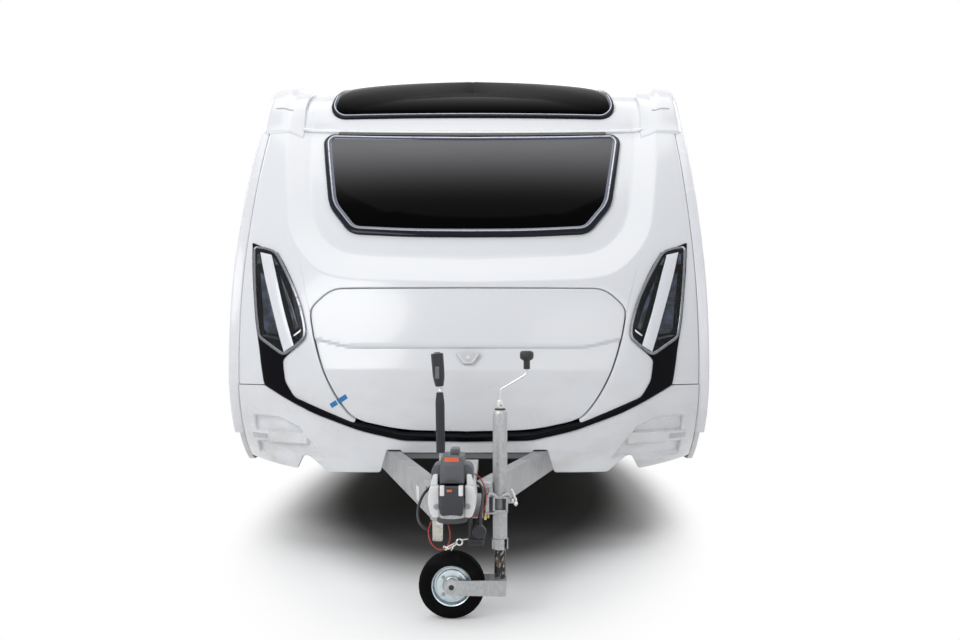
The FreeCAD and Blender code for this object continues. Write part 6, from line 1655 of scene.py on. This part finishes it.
def make_rooflights():
    """Domes on pale frames: each level slice is a rounded rectangle."""
    top = float(extent("rooflights")[1][2])
    foot, frames, domes = ROOF - 0.004, Form(), Form()
    for start, length, width in ROOFLIGHTS:
        a, b, y = width / 2, length / 2, start + length / 2
        frames.add(tower([(foot, -a, a, y - b, y + b, 0.04), (foot + 0.014, -a, a, y - b, y + b, 0.04),
                          (foot + 0.018, -a + 0.005, a - 0.005, y - b + 0.005, y + b - 0.005, 0.036)], 6))
        rows = [(foot + 0.016, 0.022), (top - 0.010, 0.024), (top - 0.005, 0.030), (top - 0.0015, 0.045),
                (top, 0.075)]
        domes.add(tower([(z, k - a, a - k, y - b + k, y + b - k, 0.03) for z, k in rows], 6))
    domes.make("rooflight_covers", DOME, "rooflight_dome", "rooflights", 45)
    frames.make("rooflight_frames", PALE_GREY, "white_panel", (), 40)


def make_rear_parts():
    """A blank plate with its two lights, and a lamp above the rear window."""
    put = facing(tail.place(np.array([[[0, float(tail.run(0.84)), 0.008]]]))[0, 0], (-1, 0, 0), UP)
    blank = plate(rectangle(0.520, 0.112, 0.012), 0.004, put, 0.001)
    Form().add(blank).make("rear_plate", PAD, "white_moulding")
    edge = plate(rectangle(0.536, 0.128, 0.014), 0.0025, put, 0.001)
    Form().add(edge).make("rear_plate_holder", BLACK_PLASTIC, "black_plastic")
    lights = [plate(rectangle(0.06, 0.02, 0.006) + (x, 0.083), 0.012, put, 0.003) for x in (-0.12, 0.12)]
    gather(lights).make("rear_plate_lights", MARKER, "lamp_lens")
    brake = tail.drawn(rectangle(0.30, 0.022, 0.006, 4) + (0, 2.10))
    rows = raised(shut(brake), ((0, -0.010), (0.93, -0.010), (1, -0.006), (1, 0)), brake.mean(0))
    Form().add(tail.place(ladder(rows, [2, 1, 1])), BODY_CORE).make("tail_lamp_high", RED, "lamp_lens")


# ---------------------------------------------------------------- camera, light, floor
def make_stage():
    """The floor with its soft shadow, partly cast by the lamps and partly painted into its colour under the
    caravan, the world, the lamps and the camera.
    """
    mesh = bpy.data.meshes.new("studio_floor")
    mesh.from_pydata([(-60, -40, 0), (60, -40, 0), (60, 80, 0), (-60, 80, 0)], [], [(0, 1, 2, 3)])
    floor = bpy.data.objects.new("studio_floor", mesh)
    SCENE.collection.objects.link(floor)
    pale = Finish("studio_floor", (0.93, 0.93, 0.93), 0.9)
    spot = pale.spot((1 / 1.08, 1 / 3.22, 1))
    away = pale.node("ShaderNodeVectorMath", {"operation": "LENGTH"}, {0: spot}, 1)
    # Painted shadow: the floor's colour darkens to 0.07 inside an ellipse under the caravan.
    pale.paint(pale.mix(away.between(0.72, 1.0), (0.07, 0.07, 0.07), (0.93, 0.93, 0.93)))
    seen = 0.0
    for ray in ("Is Camera Ray", "Is Transmission Ray", "Is Glossy Ray"):
        seen = pale.math("MAXIMUM", pale.node("ShaderNodeLightPath", {}, {}, ray), seen)
    lit = pale.node("ShaderNodeMixShader", {}, {0: away.between(0.95, 1.25) * seen,
                                                1: Value(pale, pale.shader.outputs[0]),
                                                2: pale.node("ShaderNodeEmission", {}, {"Strength": 1.0})})
    pale.tree.links.new(lit.socket, pale.tree.nodes["Material Output"].inputs["Surface"])
    mesh.materials.append(pale.material)

    world = bpy.data.worlds.new("studio")
    SCENE.world = world
    world.use_nodes = True
    tree = world.node_tree
    plain, white = tree.nodes["Background"], tree.nodes.new("ShaderNodeBackground")
    plain.inputs["Color"].default_value = (0.93, 0.95, 1.0, 1)
    plain.inputs["Strength"].default_value = 0.27
    white.inputs["Color"].default_value = (1, 1, 1, 1)
    white.inputs["Strength"].default_value = 1.0
    path, mixer = tree.nodes.new("ShaderNodeLightPath"), tree.nodes.new("ShaderNodeMixShader")
    seen = path.outputs["Is Camera Ray"]
    for ray in ("Is Transmission Ray", "Is Glossy Ray"):
        either = tree.nodes.new("ShaderNodeMath")
        either.operation = "MAXIMUM"
        tree.links.new(seen, either.inputs[0])
        tree.links.new(path.outputs[ray], either.inputs[1])
        seen = either.outputs[0]
    tree.links.new(seen, mixer.inputs[0])
    tree.links.new(plain.outputs[0], mixer.inputs[1])
    tree.links.new(white.outputs[0], mixer.inputs[2])
    tree.links.new(mixer.outputs[0], tree.nodes["World Output"].inputs["Surface"])

    for name, place, aim, size, power in (("key", (-4.0, -7.8, 5.6), (0, -1.5, 1.2), 5.0, 290),
                                          ("fill", (3.5, -8.5, 4.0), (0, -1.5, 1.2), 5.0, 75),
                                          ("top", (0, -0.5, 8.0), (0, -0.5, 0), 7.0, 190),
                                          ("rim_left", (-6.5, 1.5, 7.0), (0, 1.0, 1.2), 5.0, 120),
                                          ("rim_right", (6.5, 1.5, 7.0), (0, 1.0, 1.2), 5.0, 160),
                                          ("back", (0, 9.0, 6.0), (0, 3.0, 1.2), 5.0, 120)):
        lamp = bpy.data.lights.new(name, "AREA")
        lamp.shape, lamp.size, lamp.energy = "DISK", size, power
        holder = bpy.data.objects.new(name, lamp)
        SCENE.collection.objects.link(holder)
        from_to = np.subtract(aim, place)
        flat = math.hypot(from_to[0], from_to[1])
        holder.location = place
        holder.rotation_euler = (math.atan2(flat, -from_to[2]), 0, math.atan2(-from_to[0], from_to[1]))

    camera = bpy.data.objects.new("camera", bpy.data.cameras.new("camera"))
    SCENE.collection.objects.link(camera)
    camera.location = (0.13, -6.08, 0.87)
    camera.rotation_euler = (math.radians(90), 0, 0)
    camera.data.lens, camera.data.sensor_width = 31.5, 36.0
    camera.data.shift_x, camera.data.shift_y = -0.0171, 0.0361
    camera.data.clip_end = 200.0
    SCENE.camera = camera
    SCENE.view_settings.view_transform = "Standard"


def dress(nodes, finish):
    """Gives kept frame pieces their finish."""
    for name in nodes.split():
        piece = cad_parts[name]
        for held in piece.material_slots:
            held.material = finish.material
        if not piece.material_slots:
            piece.data.materials.append(finish.material)


dress("side_wall_left side_wall_right entrance_door side_hatch service_flap", WALL)
dress("side_skirts", WHITE)
dress("locker_tub wheel_boxes", BLACK_PLASTIC)
dress("drawbar chassis_rails axle steady_mounts steady_front_left steady_front_right steady_rear_left"
      " steady_rear_right", ZINC_DIP)
dress("overrun_housing jockey_fork", TUBE)
dress("jockey_stem", GREASE)
dress("floor", BOARD)

make_stage()
make_cords()
make_front_panel()
make_locker_door()
make_locker_lock()
make_lamps()
make_windows()
make_front_bumper()
make_corner_rails()
make_roof()
make_shoulder_caps()
make_rear()
make_coupling()
make_handbrake()
make_jockey()
make_drawbar_parts()
make_wheels()
make_side_windows()
make_door()
make_hatches()
make_rooflights()
make_rear_parts()
